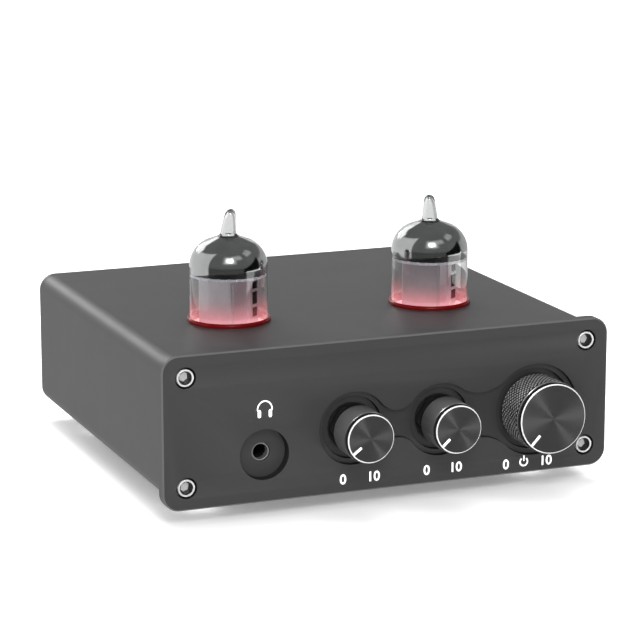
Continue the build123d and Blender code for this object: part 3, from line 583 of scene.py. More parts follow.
class EffectShelf:
    """Node groups that several finishes share, each built the first time it is asked for."""

    @cached_property
    def grain(self) -> bpy.types.NodeTree:
        """Fine blasted or moulded grain with broad, faint mottling."""
        g, entry, leave = blank_group(
            "Blasted grain", {"Size": 0.0003, "Mottle size": 0.02, "Mottle": 0.1},
            ("Height", "Tone"),
        )
        spot = g.spot()
        fine, broad = (
            g.node("ShaderNodeTexNoise", {
                "Vector": spot, "Scale": g.sum("DIVIDE", 1.0, entry[size]), "Detail": detail,
            }).outputs[0]
            for size, detail in (("Size", 2.0), ("Mottle size", 3.0))
        )
        swing = g.sum("MULTIPLY", g.sum("SUBTRACT", broad, 0.5), entry["Mottle"])
        share = g.sum("MULTIPLY", entry["Mottle"], 0.8)
        speck = g.sum("MULTIPLY", g.sum("SUBTRACT", fine, 0.5), share)
        g.fill(leave, {"Height": fine, "Tone": g.sum("ADD", 1.0, g.sum("ADD", swing, speck))})
        return g.tree

    @cached_property
    def turning(self) -> bpy.types.NodeTree:
        """Fine circular tool lines about an axis along Y."""
        g, entry, leave = blank_group(
            "Tool lines", {"Centre": (0.0, 0.0, 0.0), "Pitch": 0.0001}, ("Height", "Tone"),
        )
        away = g.node("ShaderNodeVectorMath", operation="SUBTRACT")
        g.feed(away.inputs[0], g.spot())
        g.feed(away.inputs[1], entry["Centre"])
        px, _, pz = g.split(away.outputs[0])
        radius = g.sum("SQRT", g.sum("ADD", g.sum("MULTIPLY", px, px), g.sum("MULTIPLY", pz, pz)))
        lines = g.node("ShaderNodeTexNoise", {
            "Scale": 1.0, "Detail": 2.0, "W": g.sum("DIVIDE", radius, entry["Pitch"]),
        }, noise_dimensions="1D").outputs[0]
        g.fill(leave, {"Height": lines, "Tone": g.spread(lines, 0.25, 0.75, 0.88, 1.12)})
        return g.tree

    @cached_property
    def handling(self) -> bpy.types.NodeTree:
        """Faint smudges and dust that change the gloss."""
        g, entry, leave = blank_group(
            "Handling marks", {"Roughness": 0.4, "Amount": 0.05, "Patch size": 0.012},
            ("Roughness", "Dust"),
        )
        spot = g.spot()
        patch = g.node("ShaderNodeTexNoise", {
            "Vector": spot, "Scale": g.sum("DIVIDE", 1.0, entry["Patch size"]), "Detail": 5.0,
            "Distortion": 0.6,
        })
        speck = g.node("ShaderNodeTexVoronoi", {"Vector": spot, "Scale": 900.0}, feature="F1")
        change = g.sum("MULTIPLY", g.sum("SUBTRACT", patch.outputs[0], 0.5), entry["Amount"])
        g.fill(leave, {
            "Roughness": g.sum("ADD", entry["Roughness"], change),
            "Dust": g.spread(speck.outputs["Distance"], 0.0, 0.09, 1.0, 0.0),
        })
        return g.tree

    @cached_property
    def edges(self) -> bpy.types.NodeTree:
        """Where a surface bends outward: edges that rub bare first, lightened also as a painted
        highlight where they would catch light.
        """
        g, entry, leave = blank_group("Edge wear", {"Breadth": 0.06, "Amount": 0.5}, ("Mask",))
        bend = g.node("ShaderNodeNewGeometry").outputs["Pointiness"]
        broken = g.node("ShaderNodeTexNoise", {"Vector": g.spot(), "Scale": 500.0, "Detail": 4.0})
        worn_and_lit = g.sum(
            "MULTIPLY", g.spread(bend, 0.5, g.sum("ADD", 0.5, entry["Breadth"]), 0.0, 1.0),
            g.spread(broken.outputs[0], 0.35, 0.65, 0.35, 1.0),
        )
        g.fill(leave, {"Mask": g.sum("MULTIPLY", worn_and_lit, entry["Amount"])})
        return g.tree

    @cached_property
    def lamplight(self) -> bpy.types.NodeTree:
        """How far the light of the lamp under a tube still reaches, by height above the table."""
        g, entry, leave = blank_group(
            "Lamp light", {"Foot": 0.0385, "Fade": 0.0065}, ("Mask", "Height"),
        )
        height = g.split(g.node("ShaderNodeNewGeometry").outputs["Position"])[2]
        haze = g.node("ShaderNodeMapRange", {
            "Value": height, "From Min": entry["Foot"],
            "From Max": g.sum("ADD", entry["Foot"], entry["Fade"]), "To Min": 1.0, "To Max": 0.0,
        }, interpolation_type="SMOOTHSTEP")
        g.fill(leave, {"Mask": haze.outputs[0], "Height": height})
        return g.tree


EFFECTS = EffectShelf()


class Coat(Enum):
    """Whether a finish has a clear gloss layer over it."""

    NONE = 0.0
    THIN = 0.35


@dataclass(frozen=True)
class Finish:
    """A plain finish: colour, gloss, grain, rubbed edges lightened also as painted edge highlights,
    and, where set, a glow, which is painted light on every part but the red lamp, without tool
    lines.

    The size of the grain and the height of its relief are in millimetres.
    """

    name: str
    colour: Colour
    roughness: float = 0.5
    metallic: float = 0.0
    grain: float = 0.3
    relief: float = 0.01
    mottle: float = 0.08
    smudge: float = 0.08
    edge: float = 0.0
    edge_colour: Colour = (0.5, 0.5, 0.5)
    coat: Coat = Coat.NONE
    coat_roughness: float = 0.08
    dust: float = 0.0
    dust_colour: Colour = (0.6, 0.6, 0.58)
    transmission: float = 0.0
    glow: float = 0.0
    shine: float = 0.5
    # unlit is the colour away from the tube lamp; near its foot the colour and the glow are painted
    # lamp light
    unlit: Colour | None = None

    def build(self) -> bpy.types.Material:
        """Make the material."""
        look, g, shader = blank_look(self.name)
        grain = g.effect(EFFECTS.grain, {"Size": self.grain * MM, "Mottle": self.mottle})
        marks = g.effect(EFFECTS.handling, {"Roughness": self.roughness, "Amount": self.smudge})
        wear_and_highlight = g.effect(EFFECTS.edges, {"Amount": self.edge})
        own: object = rgba(self.colour)
        light: object = own
        if self.unlit:
            lamp = g.effect(EFFECTS.lamplight, {})["Mask"]
            own = g.blend(lamp, rgba(self.unlit), own)
            light = g.blend(lamp, rgba(BLACK), light)
        # the edge mask paints lighter rubbed edges and painted edge highlights
        surface = g.blend(wear_and_highlight["Mask"], g.tint(own, grain["Tone"]), rgba(self.edge_colour))
        if self.dust:
            amount = g.sum("MULTIPLY", marks["Dust"], self.dust)
            surface = g.blend(amount, surface, rgba(self.dust_colour))
        g.fill(shader, {
            "Base Color": surface, "Roughness": marks["Roughness"], "Metallic": self.metallic,
            "Specular IOR Level": self.shine, "Coat Weight": self.coat.value,
            "Coat Roughness": self.coat_roughness, "Transmission Weight": self.transmission,
            "Normal": g.bump(grain["Height"], self.relief),
        })
        # glow is an emission; on every finish but the red lamp it is painted light
        if self.glow:
            g.fill(shader, {"Emission Color": light, "Emission Strength": self.glow})
        return look


@dataclass(frozen=True)
class TurnedFinish:
    """A lathe-cut finish with fine circular tool lines about an axis along Y."""

    name: str
    colour: Colour
    centre: Point
    roughness: float = 0.36
    pitch: float = 0.09
    relief: float = 0.001
    metallic: float = 0.6
    stretch: float = 0.0
    smudge: float = 0.06

    def build(self) -> bpy.types.Material:
        """Make the material."""
        look, g, shader = blank_look(self.name)
        lines = g.effect(EFFECTS.turning, {
            "Centre": tuple(v * MM for v in self.centre), "Pitch": self.pitch * MM,
        })
        marks = g.effect(EFFECTS.handling, {"Roughness": self.roughness, "Amount": self.smudge})
        g.fill(shader, {
            "Base Color": g.tint(rgba(self.colour), lines["Tone"]), "Roughness": marks["Roughness"],
            "Metallic": self.metallic, "Normal": g.bump(lines["Height"], self.relief),
        })
        if self.stretch:
            tangent = g.node("ShaderNodeTangent", direction_type="RADIAL", axis="Y")
            g.fill(shader, {
                "Anisotropic": self.stretch, "Anisotropic Rotation": 0.25,
                "Tangent": tangent.outputs[0],
            })
        return look


@dataclass(frozen=True)
class GlassFinish:
    """Clear blown glass with a very slight waviness; the pink light of the lamp below is painted
    into its foot as a pink tint and a glow.
    """

    name: str
    clear: Colour = (0.97, 0.98, 0.98)
    lit: Colour = (1.0, 0.9, 0.905)
    glow: Colour = (1.0, 0.6, 0.62)
    painted_glow_fade: Colour = (1.0, 0.22, 0.25)
    ior: float = 1.47
    wave: float = 0.02
    wave_size: float = 6.0
    foot: float = 38.5
    band: float = 1.7
    band_edge: float = 0.25
    fade: float = 6.5
    strength: float = 0.16

    def build(self) -> bpy.types.Material:
        """Make the material."""
        look, g, shader = blank_look(self.name)
        lamp = g.effect(EFFECTS.lamplight, {"Foot": self.foot * MM, "Fade": self.fade * MM})
        haze, band = lamp["Mask"], self.foot + self.band
        bright = g.spread(lamp["Height"], band * MM, (band + self.band_edge) * MM, 1.0, 0.0)
        painted_glow_fade = g.blend(g.sum("MULTIPLY", haze, 0.75), rgba(BLACK), rgba(self.painted_glow_fade))
        marks = g.effect(EFFECTS.handling, {"Roughness": 0.015, "Amount": 0.02})
        grain = g.effect(EFFECTS.grain, {"Size": self.wave_size * MM})
        g.fill(shader, {
            # painted light: the pink tint of the base colour and the emission near the foot stand
            # for the lamp's light
            "Base Color": g.blend(haze, rgba(self.clear), rgba(self.lit)),
            "Emission Color": g.blend(g.sum("MULTIPLY", bright, 0.5), painted_glow_fade, rgba(self.glow)),
            "Emission Strength": self.strength, "Metallic": 0.0, "Transmission Weight": 1.0,
            "IOR": self.ior, "Roughness": marks["Roughness"],
            "Normal": g.bump(grain["Height"], self.wave, 0.5),
        })
        return look


@dataclass(frozen=True)
class GetterFinish:
    """Dark, slightly cloudy mirror film."""

    name: str
    smoke: Colour = (0.46, 0.46, 0.46)
    mirror: Colour = (0.52, 0.52, 0.525)

    def build(self) -> bpy.types.Material:
        """Make the material."""
        look, g, shader = blank_look(self.name)
        cloud = g.node("ShaderNodeTexNoise", {"Vector": g.spot(), "Scale": 260.0, "Detail": 3.0})
        thick = g.spread(cloud.outputs[0], 0.35, 0.65, 0.0, 1.0)
        marks = g.effect(EFFECTS.handling, {"Roughness": 0.06, "Amount": 0.03})
        g.fill(shader, {
            "Base Color": g.blend(thick, rgba(self.smoke), rgba(self.mirror)),
            "Metallic": 1.0, "Roughness": marks["Roughness"],
        })
        return look


AnyFinish = Finish | TurnedFinish | GlassFinish | GetterFinish


def anodised(name: str, colour: Colour, relief: float = 0.006, **rest: float) -> Finish:
    """A blasted and anodised face."""
    return Finish(name, colour, grain=0.22, relief=relief, mottle=0.05, smudge=0.04, **rest)


PLAIN_FINISHES = (
    anodised("case_anodised", (0.028, 0.028, 0.0285), roughness=0.46),
    # partly bare cut metal, partly painted highlight: the chamfers and bevels are lighter and more
    # metallic than the face so they read as lit edges
    anodised("case_edge_with_painted_highlight", (0.15, 0.15, 0.152), 0.003, roughness=0.34, metallic=0.6),
    # painted shade: pocket, well and dish floors a little darker than the face, for the shade in
    # the recesses
    anodised("recess_floor_painted_shade", (0.024, 0.024, 0.0245)),
    # painted shade: the walls of the pocket, wells and screw sockets, the knob grooves and the
    # knurl valleys are nearly black to stand for the shade inside them
    anodised("recess_wall_painted_shade", (0.009, 0.009, 0.0092), 0.004, roughness=0.55),
    # painted highlight: the edge mask lightens the knurl's peaks, and the flat tops are lighter
    # than the painted-shade sides
    Finish("knob_knurl", (0.2, 0.2, 0.202), 0.25, 0.35, grain=0.2, relief=0.002, smudge=0.04,
           edge=0.8),
    # painted shade: pots, nuts and washers are near black because they sit in the shadow behind the
    # knobs
    Finish("dark_hardware", (0.02, 0.02, 0.021), 0.4, 0.5, relief=0.004),
    Finish("cut_corner", (0.6, 0.6, 0.6), 0.2, 1.0, grain=0.4, relief=0.001),
    Finish("dark_nickel", (0.16, 0.16, 0.16), 0.4, 0.3, grain=0.4, relief=0.002),
    # painted glow: the print glows slightly
    Finish("white_print", (0.9, 0.9, 0.9), 0.55, grain=0.1, relief=0.002, mottle=0.03, glow=0.25),
    # painted shade: near black inside the counterbores, the screw holes and the headphone socket's
    # bore
    Finish("void_painted_shade", (0.004, 0.004, 0.004), 0.7),
    Finish("moulded_black", (0.016, 0.016, 0.017), 0.48, grain=0.35, relief=0.02, edge=0.15,
           edge_colour=(0.08, 0.08, 0.08), dust=0.15),
    Finish("bright_steel", (0.8, 0.8, 0.81), 0.25, 0.6, grain=0.4, relief=0.002),
    Finish("nickel_plate", (0.68, 0.67, 0.65), 0.16, 1.0, grain=0.5, relief=0.001),
    Finish("gold_plate", (0.83, 0.6, 0.26), 0.18, 1.0, grain=0.5, relief=0.001),
    Finish("tinned", (0.62, 0.61, 0.58), 0.32, 1.0),
    # painted glow: the bumpers glow slightly so they stay pale in the shadow under the case
    Finish("bumper_rubber", (0.86, 0.86, 0.85), 0.3, grain=0.8, relief=0.004, transmission=0.15,
           dust=0.1, glow=0.12),
    Finish("tube_nickel", (0.84, 0.85, 0.89), 0.4, 0.35, grain=0.6, relief=0.006, mottle=0.2,
           edge=0.25, edge_colour=(0.6, 0.6, 0.62)),
    Finish("tube_wire", (0.55, 0.54, 0.52), 0.3, 1.0),
    # painted glow: the spacer sheet glows slightly to stay pale
    Finish("mica_sheet", (0.92, 0.92, 0.98), 0.3, grain=0.6, relief=0.004, mottle=0.1,
           coat=Coat.THIN, glow=0.12),
    # painted light: the lower spacer is pink and glowing near the lamp, standing for the lamp's
    # light on it
    Finish("mica_painted_lamplight", (0.66, 0.32, 0.35), 0.4, grain=0.6, relief=0.004, mottle=0.15, glow=1.4,
           unlit=(0.8, 0.79, 0.8)),
    # painted shade: the upper spacer's top face is dark for the shade under the getter dome
    Finish("mica_top_painted_shade", (0.075, 0.078, 0.085), 0.4, grain=0.6, relief=0.004, mottle=0.15),
    # painted shade: the inside of the folded plate is nearly black, standing for the shade seen
    # through its windows
    Finish("cage_inside_painted_shade", (0.012, 0.012, 0.013), 0.6, grain=0.5, relief=0.003, mottle=0.1),
    # painted glow: the collar glows faintly red, standing for the lamp's light on it
    Finish("collar_red", (0.095, 0.001, 0.0014), 0.25, grain=0.6, relief=0.003, glow=0.1,
           shine=0.15),
    Finish("socket_ceramic", (0.78, 0.74, 0.66), 0.32, grain=0.5, relief=0.006, edge=0.1,
           coat=Coat.THIN),
    Finish("led_red", (0.9, 0.03, 0.03), 0.15, grain=1.0, relief=0.001, transmission=0.3, glow=3.0),
    Finish("solder_mask", (0.012, 0.07, 0.035), 0.28, grain=0.8, relief=0.012, coat=Coat.THIN),
    Finish("can_sleeve", (0.015, 0.016, 0.03), 0.25, grain=0.8, relief=0.003, edge=0.1),
    Finish("film_dip", (0.38, 0.03, 0.02), 0.25, grain=1.2, edge=0.05),
    Finish("insert_white", (0.82, 0.82, 0.8), 0.4, grain=0.5, relief=0.006),
    Finish("insert_red", (0.5, 0.012, 0.012), 0.4, grain=0.5, relief=0.006),
)


class Looks:
    """Every finish on the object, built the first time it is asked for."""

    def __init__(self) -> None:
        """Name the plain finishes."""
        self.made: dict[str, bpy.types.Material] = {}
        self.plain = {finish.name: finish for finish in PLAIN_FINISHES}

    def get(self, finish: str | AnyFinish) -> bpy.types.Material:
        """Make or find the material of a finish.

        Args:
            finish: a plain finish by name, or one with its own settings.

        Returns:
            The material.
        """
        own = self.plain[finish] if isinstance(finish, str) else finish
        if own.name not in self.made:
            self.made[own.name] = own.build()
        return self.made[own.name]


# ======== placing pieces
@dataclass(frozen=True)
class Tag:
    """Name of a piece, the body it rides on, its material class and the nodes it stands for."""

    name: str
    body: str
    slot: str
    nodes: tuple[str, ...] = ()

    def settle(self, piece: bpy.types.Object) -> None:
        """Ride a new piece on its body and hide the nodes it stands for.

        Args:
            piece: the piece.
        """
        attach(piece, self.body)
        if self.nodes:
            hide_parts(*self.nodes)
        log.info("%s rides on %s", piece.name, self.body)


@dataclass
class Maker:
    """A sub-assembly that draws its pieces and gives them the shared finishes."""

    looks: Looks

    def close(
        self, draft: Draft, tag: Tag, *finishes: str | AnyFinish, sharp: float = SHARP_ANGLE,
    ) -> None:
        """Close a mesh, dress it and settle it.

        Args:
            draft: the drawn mesh.
            tag: its name and what it belongs to.
            finishes: its finishes, by slot.
            sharp: angle in degrees above which an edge is shaded sharp.
        """
        tag.settle(draft.finish(tag.name, [self.looks.get(finish) for finish in finishes], sharp))

    def turn(
        self, tag: Tag, corners: Sequence[Corner], centre: Flat, *finishes: str | AnyFinish,
        steps: int = 3, count: int = 64, axis: Turned = Turned.ALONG_Y, wave: Wave | None = None,
    ) -> None:
        """Turn one piece, dress it and settle it.

        Args:
            tag: its name and what it belongs to.
            corners: radius, place along the axis and rounding of each corner of its profile.
            centre: place of its axis.
            finishes: its finishes, by slot.
            steps: straight pieces in each rounding.
            count: segments round the axis.
            axis: which way the axis lies.
            wave: change of radius from the angle and the place along the axis.
        """
        draft = Draft()
        profile = rounded_profile([Turn(*corner) for corner in corners], steps)
        draft.lathe(profile, centre, axis, count, wave=wave)
        self.close(draft, tag, *finishes)


# ======== enclosure
class PlateSlot(IntEnum):
    """Finish slots of the front plate."""

    FACE = 0
    # FLOOR, VOID and WALL take painted shade: darker floors, near-black counterbores and nearly
    # black walls
    FLOOR = 1
    VOID = 2
    WALL = 3
    EDGE = 4


@dataclass
class Enclosure(Maker):
    """Extruded case, both end plates, their screws, the feet and the printed marks.

    A pad is (x, radius, radius of its well), the dish is (x, z, radius, depth), the land is (width,
    height, corner) and a mark is (x, z, size). A dial's numbers are (x of 0, x of 10, base line).
    """

    panel_width: float = 111.1
    panel_height: float = 36.0
    panel_corner: float = 4.0
    chamfer: float = 0.35
    back_chamfer: float = 0.2
    pocket_depth: float = 1.2
    well_depth: float = 2.4
    pads: tuple[Point, ...] = ((-9.25, 8.6, 7.4), (12.5, 8.6, 7.4), (36.8, 11.0, 9.7))
    blends: Flat = (5.15, 9.4)
    dish: tuple[float, float, float, float] = (-31.2, 15.0, 5.92, 2.5)
    jack_hole: float = 2.17
    bushing_hole: float = 3.6
    counterbore: Flat = (2.45, 1.8)
    screw_hole: float = 1.35
    edge: float = 0.14
    land: Point = (89.4, 29.6, 1.5)
    case_bevel: float = 0.18
    rear_bevel: float = 0.3
    least_corner: float = 1.0
    corner_steps: int = 14
    tube_hole: float = 9.8
    phono_hole: float = 4.2
    power_hole: float = 4.0
    ground_hole: float = 2.02
    hole_bevel: float = 0.12
    head: Flat = (2.02, 1.7)
    shank: Flat = (1.3, 9.0)
    socket_mouth: float = 1.57
    socket_wide: float = 2.66
    socket_end: float = 2.05
    socket_deep: float = 1.9
    foot_x: float = 41.4
    foot_y: Flat = (-36.5, 36.8)
    foot_profile: tuple[Corner, ...] = (
        (0.0, 0.0), (3.7, 0.0, 0.9), (4.7, 2.0, 1.2), (5.0, 5.1, 0.15), (0.0, 5.1),
    )
    headphone_mark: Point = (-31.1, 25.7, 4.35)
    power_mark: Point = (34.06, 6.5, 1.15)
    dials: tuple[tuple[str, float, float, float], ...] = (
        ("treble", -12.0, -4.4, 6.0), ("bass", 9.0, 16.4, 6.0), ("volume", 29.4, 39.8, 5.2),
    )
    digit_size: float = 2.6

    def build(self) -> None:
        """Make the whole enclosure."""
        self.front_panel()
        self.case()
        self.rear_panel()
        self.screws("face", LAYOUT.face_y + self.counterbore[1], -1, "front_panel_screws")
        self.screws("back", LAYOUT.rear_y, 1, "rear_panel_screws")
        self.feet()
        self.marks()

    def pocket(self, grow: float, per_arc: int = 40) -> list[Flat]:
        """Outline of the knob pocket: three round pads joined by two waisted necks.

        Args:
            grow: how far the outline is moved outward.
            per_arc: points on each arc.

        Returns:
            The closed outline, anticlockwise from the far right.
        """
        z = LAYOUT.knob_z
        necks: list[tuple[float, float, float, float]] = []
        for (lx, lr, _), (rx, rr, _), bend in zip(self.pads, self.pads[1:], self.blends):
            span = rx - lx
            along = (span**2 + (lr + bend) ** 2 - (rr + bend) ** 2) / (2 * span)
            rise = math.sqrt((lr + bend) ** 2 - along**2)
            turns = (math.atan2(rise, along), math.atan2(rise, along - span))
            necks.append((lx + along, rise, *turns))
        (ax, ay, a_left, a_right), (bx, by, b_left, b_right) = necks
        (treble, treble_pad, _), (bass, bass_pad, _), (volume, volume_pad, _) = self.pads
        a_bend, b_bend = (bend - grow for bend in self.blends)
        flip = math.pi
        arcs = (
            (volume, z, volume_pad + grow, -b_right, b_right),
            (bx, z + by, b_bend, b_right - flip, b_left - flip),
            (bass, z, bass_pad + grow, b_left, a_right),
            (ax, z + ay, a_bend, a_right - flip, a_left - flip),
            (treble, z, treble_pad + grow, a_left, 2 * flip - a_left),
            (ax, z - ay, a_bend, flip - a_left, flip - a_right),
            (bass, z, bass_pad + grow, 2 * flip - a_right, 2 * flip - b_left),
            (bx, z - by, b_bend, flip - b_left, flip - b_right),
        )
        return [
            polar((cx, cz), radius, start + (stop - start) * i / per_arc)
            for cx, cz, radius, start, stop in arcs for i in range(per_arc)
        ]

    def sink(
        self, draft: Draft, outline: Callable[[float], list[Flat]],
        top: float, bottom: float, slot: int,
    ) -> tuple[list[int], list[int]]:
        """Cut a pocket wall with a broken top edge.

        Args:
            draft: the mesh being drawn.
            outline: gives the pocket's outline, moved outward by an amount.
            top: depth of the surface it is cut into.
            bottom: depth of its floor.
            slot: finish slot of the wall.

        Returns:
            The ring in the upper surface and the ring in the floor.
        """
        e = self.edge
        rings = [
            draft.flat_ring(outline(grow), depth) for grow, depth in (
                (e, top), (e * 0.3, top + e * 0.3), (0.0, top + e), (0.0, bottom - e * 0.5),
                (-e * 0.5, bottom),
            )
        ]
        for index, (first, second) in enumerate(zip(rings, rings[1:])):
            draft.strip(first, second, slot if index else PlateSlot.FACE)
        return rings[0], rings[-1]

    def bore(
        self, draft: Draft, centre: Flat, radius: float, top: float, bottom: float,
        slot: int = PlateSlot.WALL, count: int = 64,
    ) -> tuple[list[int], list[int]]:
        """Cut a round hole with a broken top edge.

        Args:
            draft: the mesh being drawn.
            centre: its middle.
            radius: its radius.
            top: depth of the surface it is cut into.
            bottom: depth of its floor.
            slot: finish slot of its wall.
            count: segments round it.

        Returns:
            The ring in the upper surface and the ring in the floor.
        """
        return self.sink(
            draft, lambda grow: circle(centre, radius + grow, count), top, bottom, slot,
        )

    def front_panel(self) -> None:
        """Thick machined plate with the knob pocket, wells, jack dish and counterbores."""
        draft = Draft()
        face, back, land = LAYOUT.face_y, LAYOUT.panel_back, LAYOUT.land_back
        pocket, well = face + self.pocket_depth, face + self.well_depth
        pocket_top, pocket_floor = self.sink(draft, self.pocket, face, pocket, PlateSlot.WALL)
        pocket_holes: list[list[int]] = []
        through: list[list[int]] = []
        for x, _, radius in self.pads:
            top, floor = self.bore(draft, (x, LAYOUT.knob_z), radius, pocket, well, count=96)
            pocket_holes.append(top)
            hole, end = self.bore(draft, (x, LAYOUT.knob_z), self.bushing_hole, well, land)
            draft.region([floor, hole], PlateSlot.FLOOR)
            through.append(end)
        draft.region([pocket_floor, *pocket_holes], PlateSlot.FLOOR)
        dish_x, dish_z, dish_radius, dish_depth = self.dish
        dish = face + dish_depth
        dish_top, floor = self.bore(draft, (dish_x, dish_z), dish_radius, face, dish, count=96)
        hole, end = self.bore(draft, (dish_x, dish_z), self.jack_hole, dish, land)
        draft.region([floor, hole], PlateSlot.FLOOR)
        through.append(end)
        face_holes, back_holes = [pocket_top, dish_top], []
        seat_radius, seat = self.counterbore[0], face + self.counterbore[1]
        for spot in LAYOUT.screws():
            top, floor = self.bore(draft, spot, seat_radius, face, seat, PlateSlot.VOID)
            face_holes.append(top)
            hole, end = self.bore(draft, spot, self.screw_hole, seat, back, PlateSlot.VOID, 48)
            draft.region([floor, hole], PlateSlot.VOID)
            back_holes.append(end)
        rings = [
            draft.flat_ring(self.outline(
                self.panel_width, self.panel_height, self.panel_corner, inset, 12), depth)
            for inset, depth in (
                (self.chamfer, face), (0.0, face + self.chamfer),
                (0.0, back - self.back_chamfer), (self.back_chamfer, back),
            )
        ]
        draft.region([rings[0], *face_holes])
        slots = (PlateSlot.EDGE, PlateSlot.FACE, PlateSlot.EDGE)
        for first, second, slot in zip(rings, rings[1:], slots):
            draft.strip(first, second, slot)
        land_outline = soft_box((0, LAYOUT.mid_z), *self.land)
        land_root = draft.flat_ring(land_outline, back)
        land_top = draft.flat_ring(land_outline, land)
        draft.region([rings[-1], land_root, *back_holes])
        draft.strip(land_root, land_top)
        draft.region([land_top, *through])
        self.close(
            draft, Tag("face_plate", "chassis", "anodised_case", ("front_panel",)),
            "case_anodised", "recess_floor_painted_shade", "void_painted_shade", "recess_wall_painted_shade", "case_edge_with_painted_highlight",
        )

    @staticmethod
    def outline(width: float, height: float, corner: float, inset: float, steps: int) -> list[Flat]:
        """Outline of a plate or of the case, moved inward.

        Args:
            width: overall width.
            height: overall height.
            corner: corner radius.
            inset: how far it is moved inward.
            steps: straight pieces in each corner.

        Returns:
            The points of the outline.
        """
        return soft_box(
            (0, LAYOUT.mid_z), width - 2 * inset, height - 2 * inset, corner - inset, steps,
        )

    def skin(self, inset: float) -> list[Flat]:
        """Cross-section of the case, moved inward."""
        corner = max(LAYOUT.case_corner, self.least_corner + inset)
        return self.outline(LAYOUT.case_width, LAYOUT.case_height, corner, inset, self.corner_steps)

    def case(self) -> None:
        """Extruded sleeve, with the two tube holes in its top."""
        draft = Draft()
        front, back = LAYOUT.panel_back, LAYOUT.case_back
        wall, bevel = LAYOUT.case_wall, self.case_bevel
        outer = [
            draft.flat_ring(self.skin(inset), depth) for inset, depth in (
                (bevel, front), (0.0, front + bevel), (0.0, back - bevel), (bevel, back),
            )
        ]
        inner = [draft.flat_ring(self.skin(wall), depth) for depth in (front, back)]
        roof = self.corner_steps
        draft.strip(outer[0], outer[1], 1)
        draft.strip(outer[1], outer[2], skip=(roof,))
        draft.strip(outer[2], outer[3], 1)
        draft.strip(inner[0], inner[1], skip=(roof,))
        draft.strip(outer[0], inner[0], smooth=False)
        draft.strip(outer[-1], inner[-1], smooth=False)
        walls = []
        for near, far, z in (
            (outer[1], outer[2], LAYOUT.case_top), (inner[0], inner[1], LAYOUT.case_top - wall),
        ):
            holes = [
                draft.level_ring(circle((x, LAYOUT.tube_y), self.tube_hole, 96), z)
                for x in LAYOUT.tube_x
            ]
            draft.region([[near[roof], near[roof + 1], far[roof + 1], far[roof]], *holes])
            walls.append(holes)
        for upper, lower in zip(*walls):
            draft.strip(upper, lower)
        tag = Tag("case_body", "chassis", "anodised_case", ("case_sleeve",))
        self.close(draft, tag, "case_anodised", "case_edge_with_painted_highlight")

    def rear_panel(self) -> None:
        """Flat rear plate with the holes for its sockets."""
        draft = Draft()
        inside, outside = LAYOUT.case_back, LAYOUT.rear_y
        holes: list[tuple[Flat, float]] = [
            *(((x, RearSockets.rca_z), self.phono_hole) for x in RearSockets.rca_x),
            (RearSockets.dc, self.power_hole),
            ((RearSockets.ground_x, RearSockets.rca_z), self.ground_hole),
            *((spot, self.screw_hole) for spot in LAYOUT.screws()),
        ]
        rings = [
            draft.flat_ring(self.skin(inset), depth) for inset, depth in (
                (self.case_bevel, inside), (0.0, inside + self.case_bevel),
                (0.0, outside - self.rear_bevel), (self.rear_bevel, outside),
            )
        ]
        for first, second, slot in zip(rings, rings[1:], (1, 0, 1)):
            draft.strip(first, second, slot)
        near: list[list[int]] = []
        far: list[list[int]] = []
        for spot, radius in holes:
            a, b, c = (
                draft.flat_ring(circle(spot, size), depth) for size, depth in (
                    (radius, inside), (radius, outside - self.hole_bevel),
                    (radius + self.hole_bevel, outside),
                )
            )
            draft.strip(a, b)
            draft.strip(b, c)
            near.append(a)
            far.append(c)
        draft.region([rings[0], *near])
        draft.region([rings[-1], *far])
        tag = Tag("back_plate", "chassis", "anodised_case", ("rear_panel",))
        self.close(draft, tag, "case_anodised", "case_edge_with_painted_highlight")

    def screws(self, label: str, seat: float, out: int, node: str) -> None:
        """Four socket-head screws.

        Args:
            label: which plate they hold.
            seat: depth that their heads stand on.
            out: -1 when the heads face the front, 1 when they face the back.
            node: the CAD node that they stand for.
        """
        (head, height), (shank, reach) = self.head, self.shank
        top, end = seat + out * height, seat - out * reach
        mouth = self.socket_mouth
        profile = rounded_profile([
            Turn(mouth + 0.1, top), Turn(head, top, 0.2), Turn(head, seat, 0.05), Turn(shank, seat),
            Turn(shank, seat - out * (reach - 0.5)), Turn(0.6, end), Turn(0.0, end),
        ])
        for number, spot in enumerate(LAYOUT.screws(), 1):
            draft = Draft()
            draft.lathe(profile, spot, count=48)
            turn = math.radians(7 + 13 * number)
            rim, lip, wall, floor = (
                draft.flat_ring(outline, top - out * depth) for outline, depth in (
                    (circle(spot, mouth + 0.1, 48), 0.0), (circle(spot, mouth, 48), 0.1),
                    (hexagon(spot, self.socket_wide, turn), 0.28),
                    (hexagon(spot, self.socket_end, turn), self.socket_deep),
                )
            )
            draft.strip(rim, lip)
            self.skirt(draft, lip, wall)
            # the socket's walls and the skirt down to them take the nearly black painted shade
            draft.strip(wall, floor, 1, smooth=False)
            draft.face(floor)
            tag = Tag(f"{label}_screw_{number}", "chassis", "bright_steel", (node,))
            self.close(draft, tag, "bright_steel", "recess_wall_painted_shade")

    @staticmethod
    def skirt(draft: Draft, around: Sequence[int], corners: Sequence[int]) -> None:
        """Join a round ring to the six corners of a socket below it.

        Args:
            draft: the mesh being drawn.
            around: the round ring.
            corners: the six corners.
        """
        middle = sum((Vector(draft.points[i]) for i in corners), Vector()) / len(corners)

        def bearing(index: int) -> float:
            """Angle of a point about the middle."""
            spot = Vector(draft.points[index]) - middle
            return math.atan2(spot.z, spot.x)

        owners = [
            min(corners, key=lambda c, i=i: abs(math.remainder(bearing(i) - bearing(c), FULL_TURN)))
            for i in around
        ]
        for k, index in enumerate(around):
            n = (k + 1) % len(around)
            draft.face((index, around[n], owners[k]), 1)
            if owners[k] != owners[n]:
                draft.face((around[n], owners[n], owners[k]), 1)

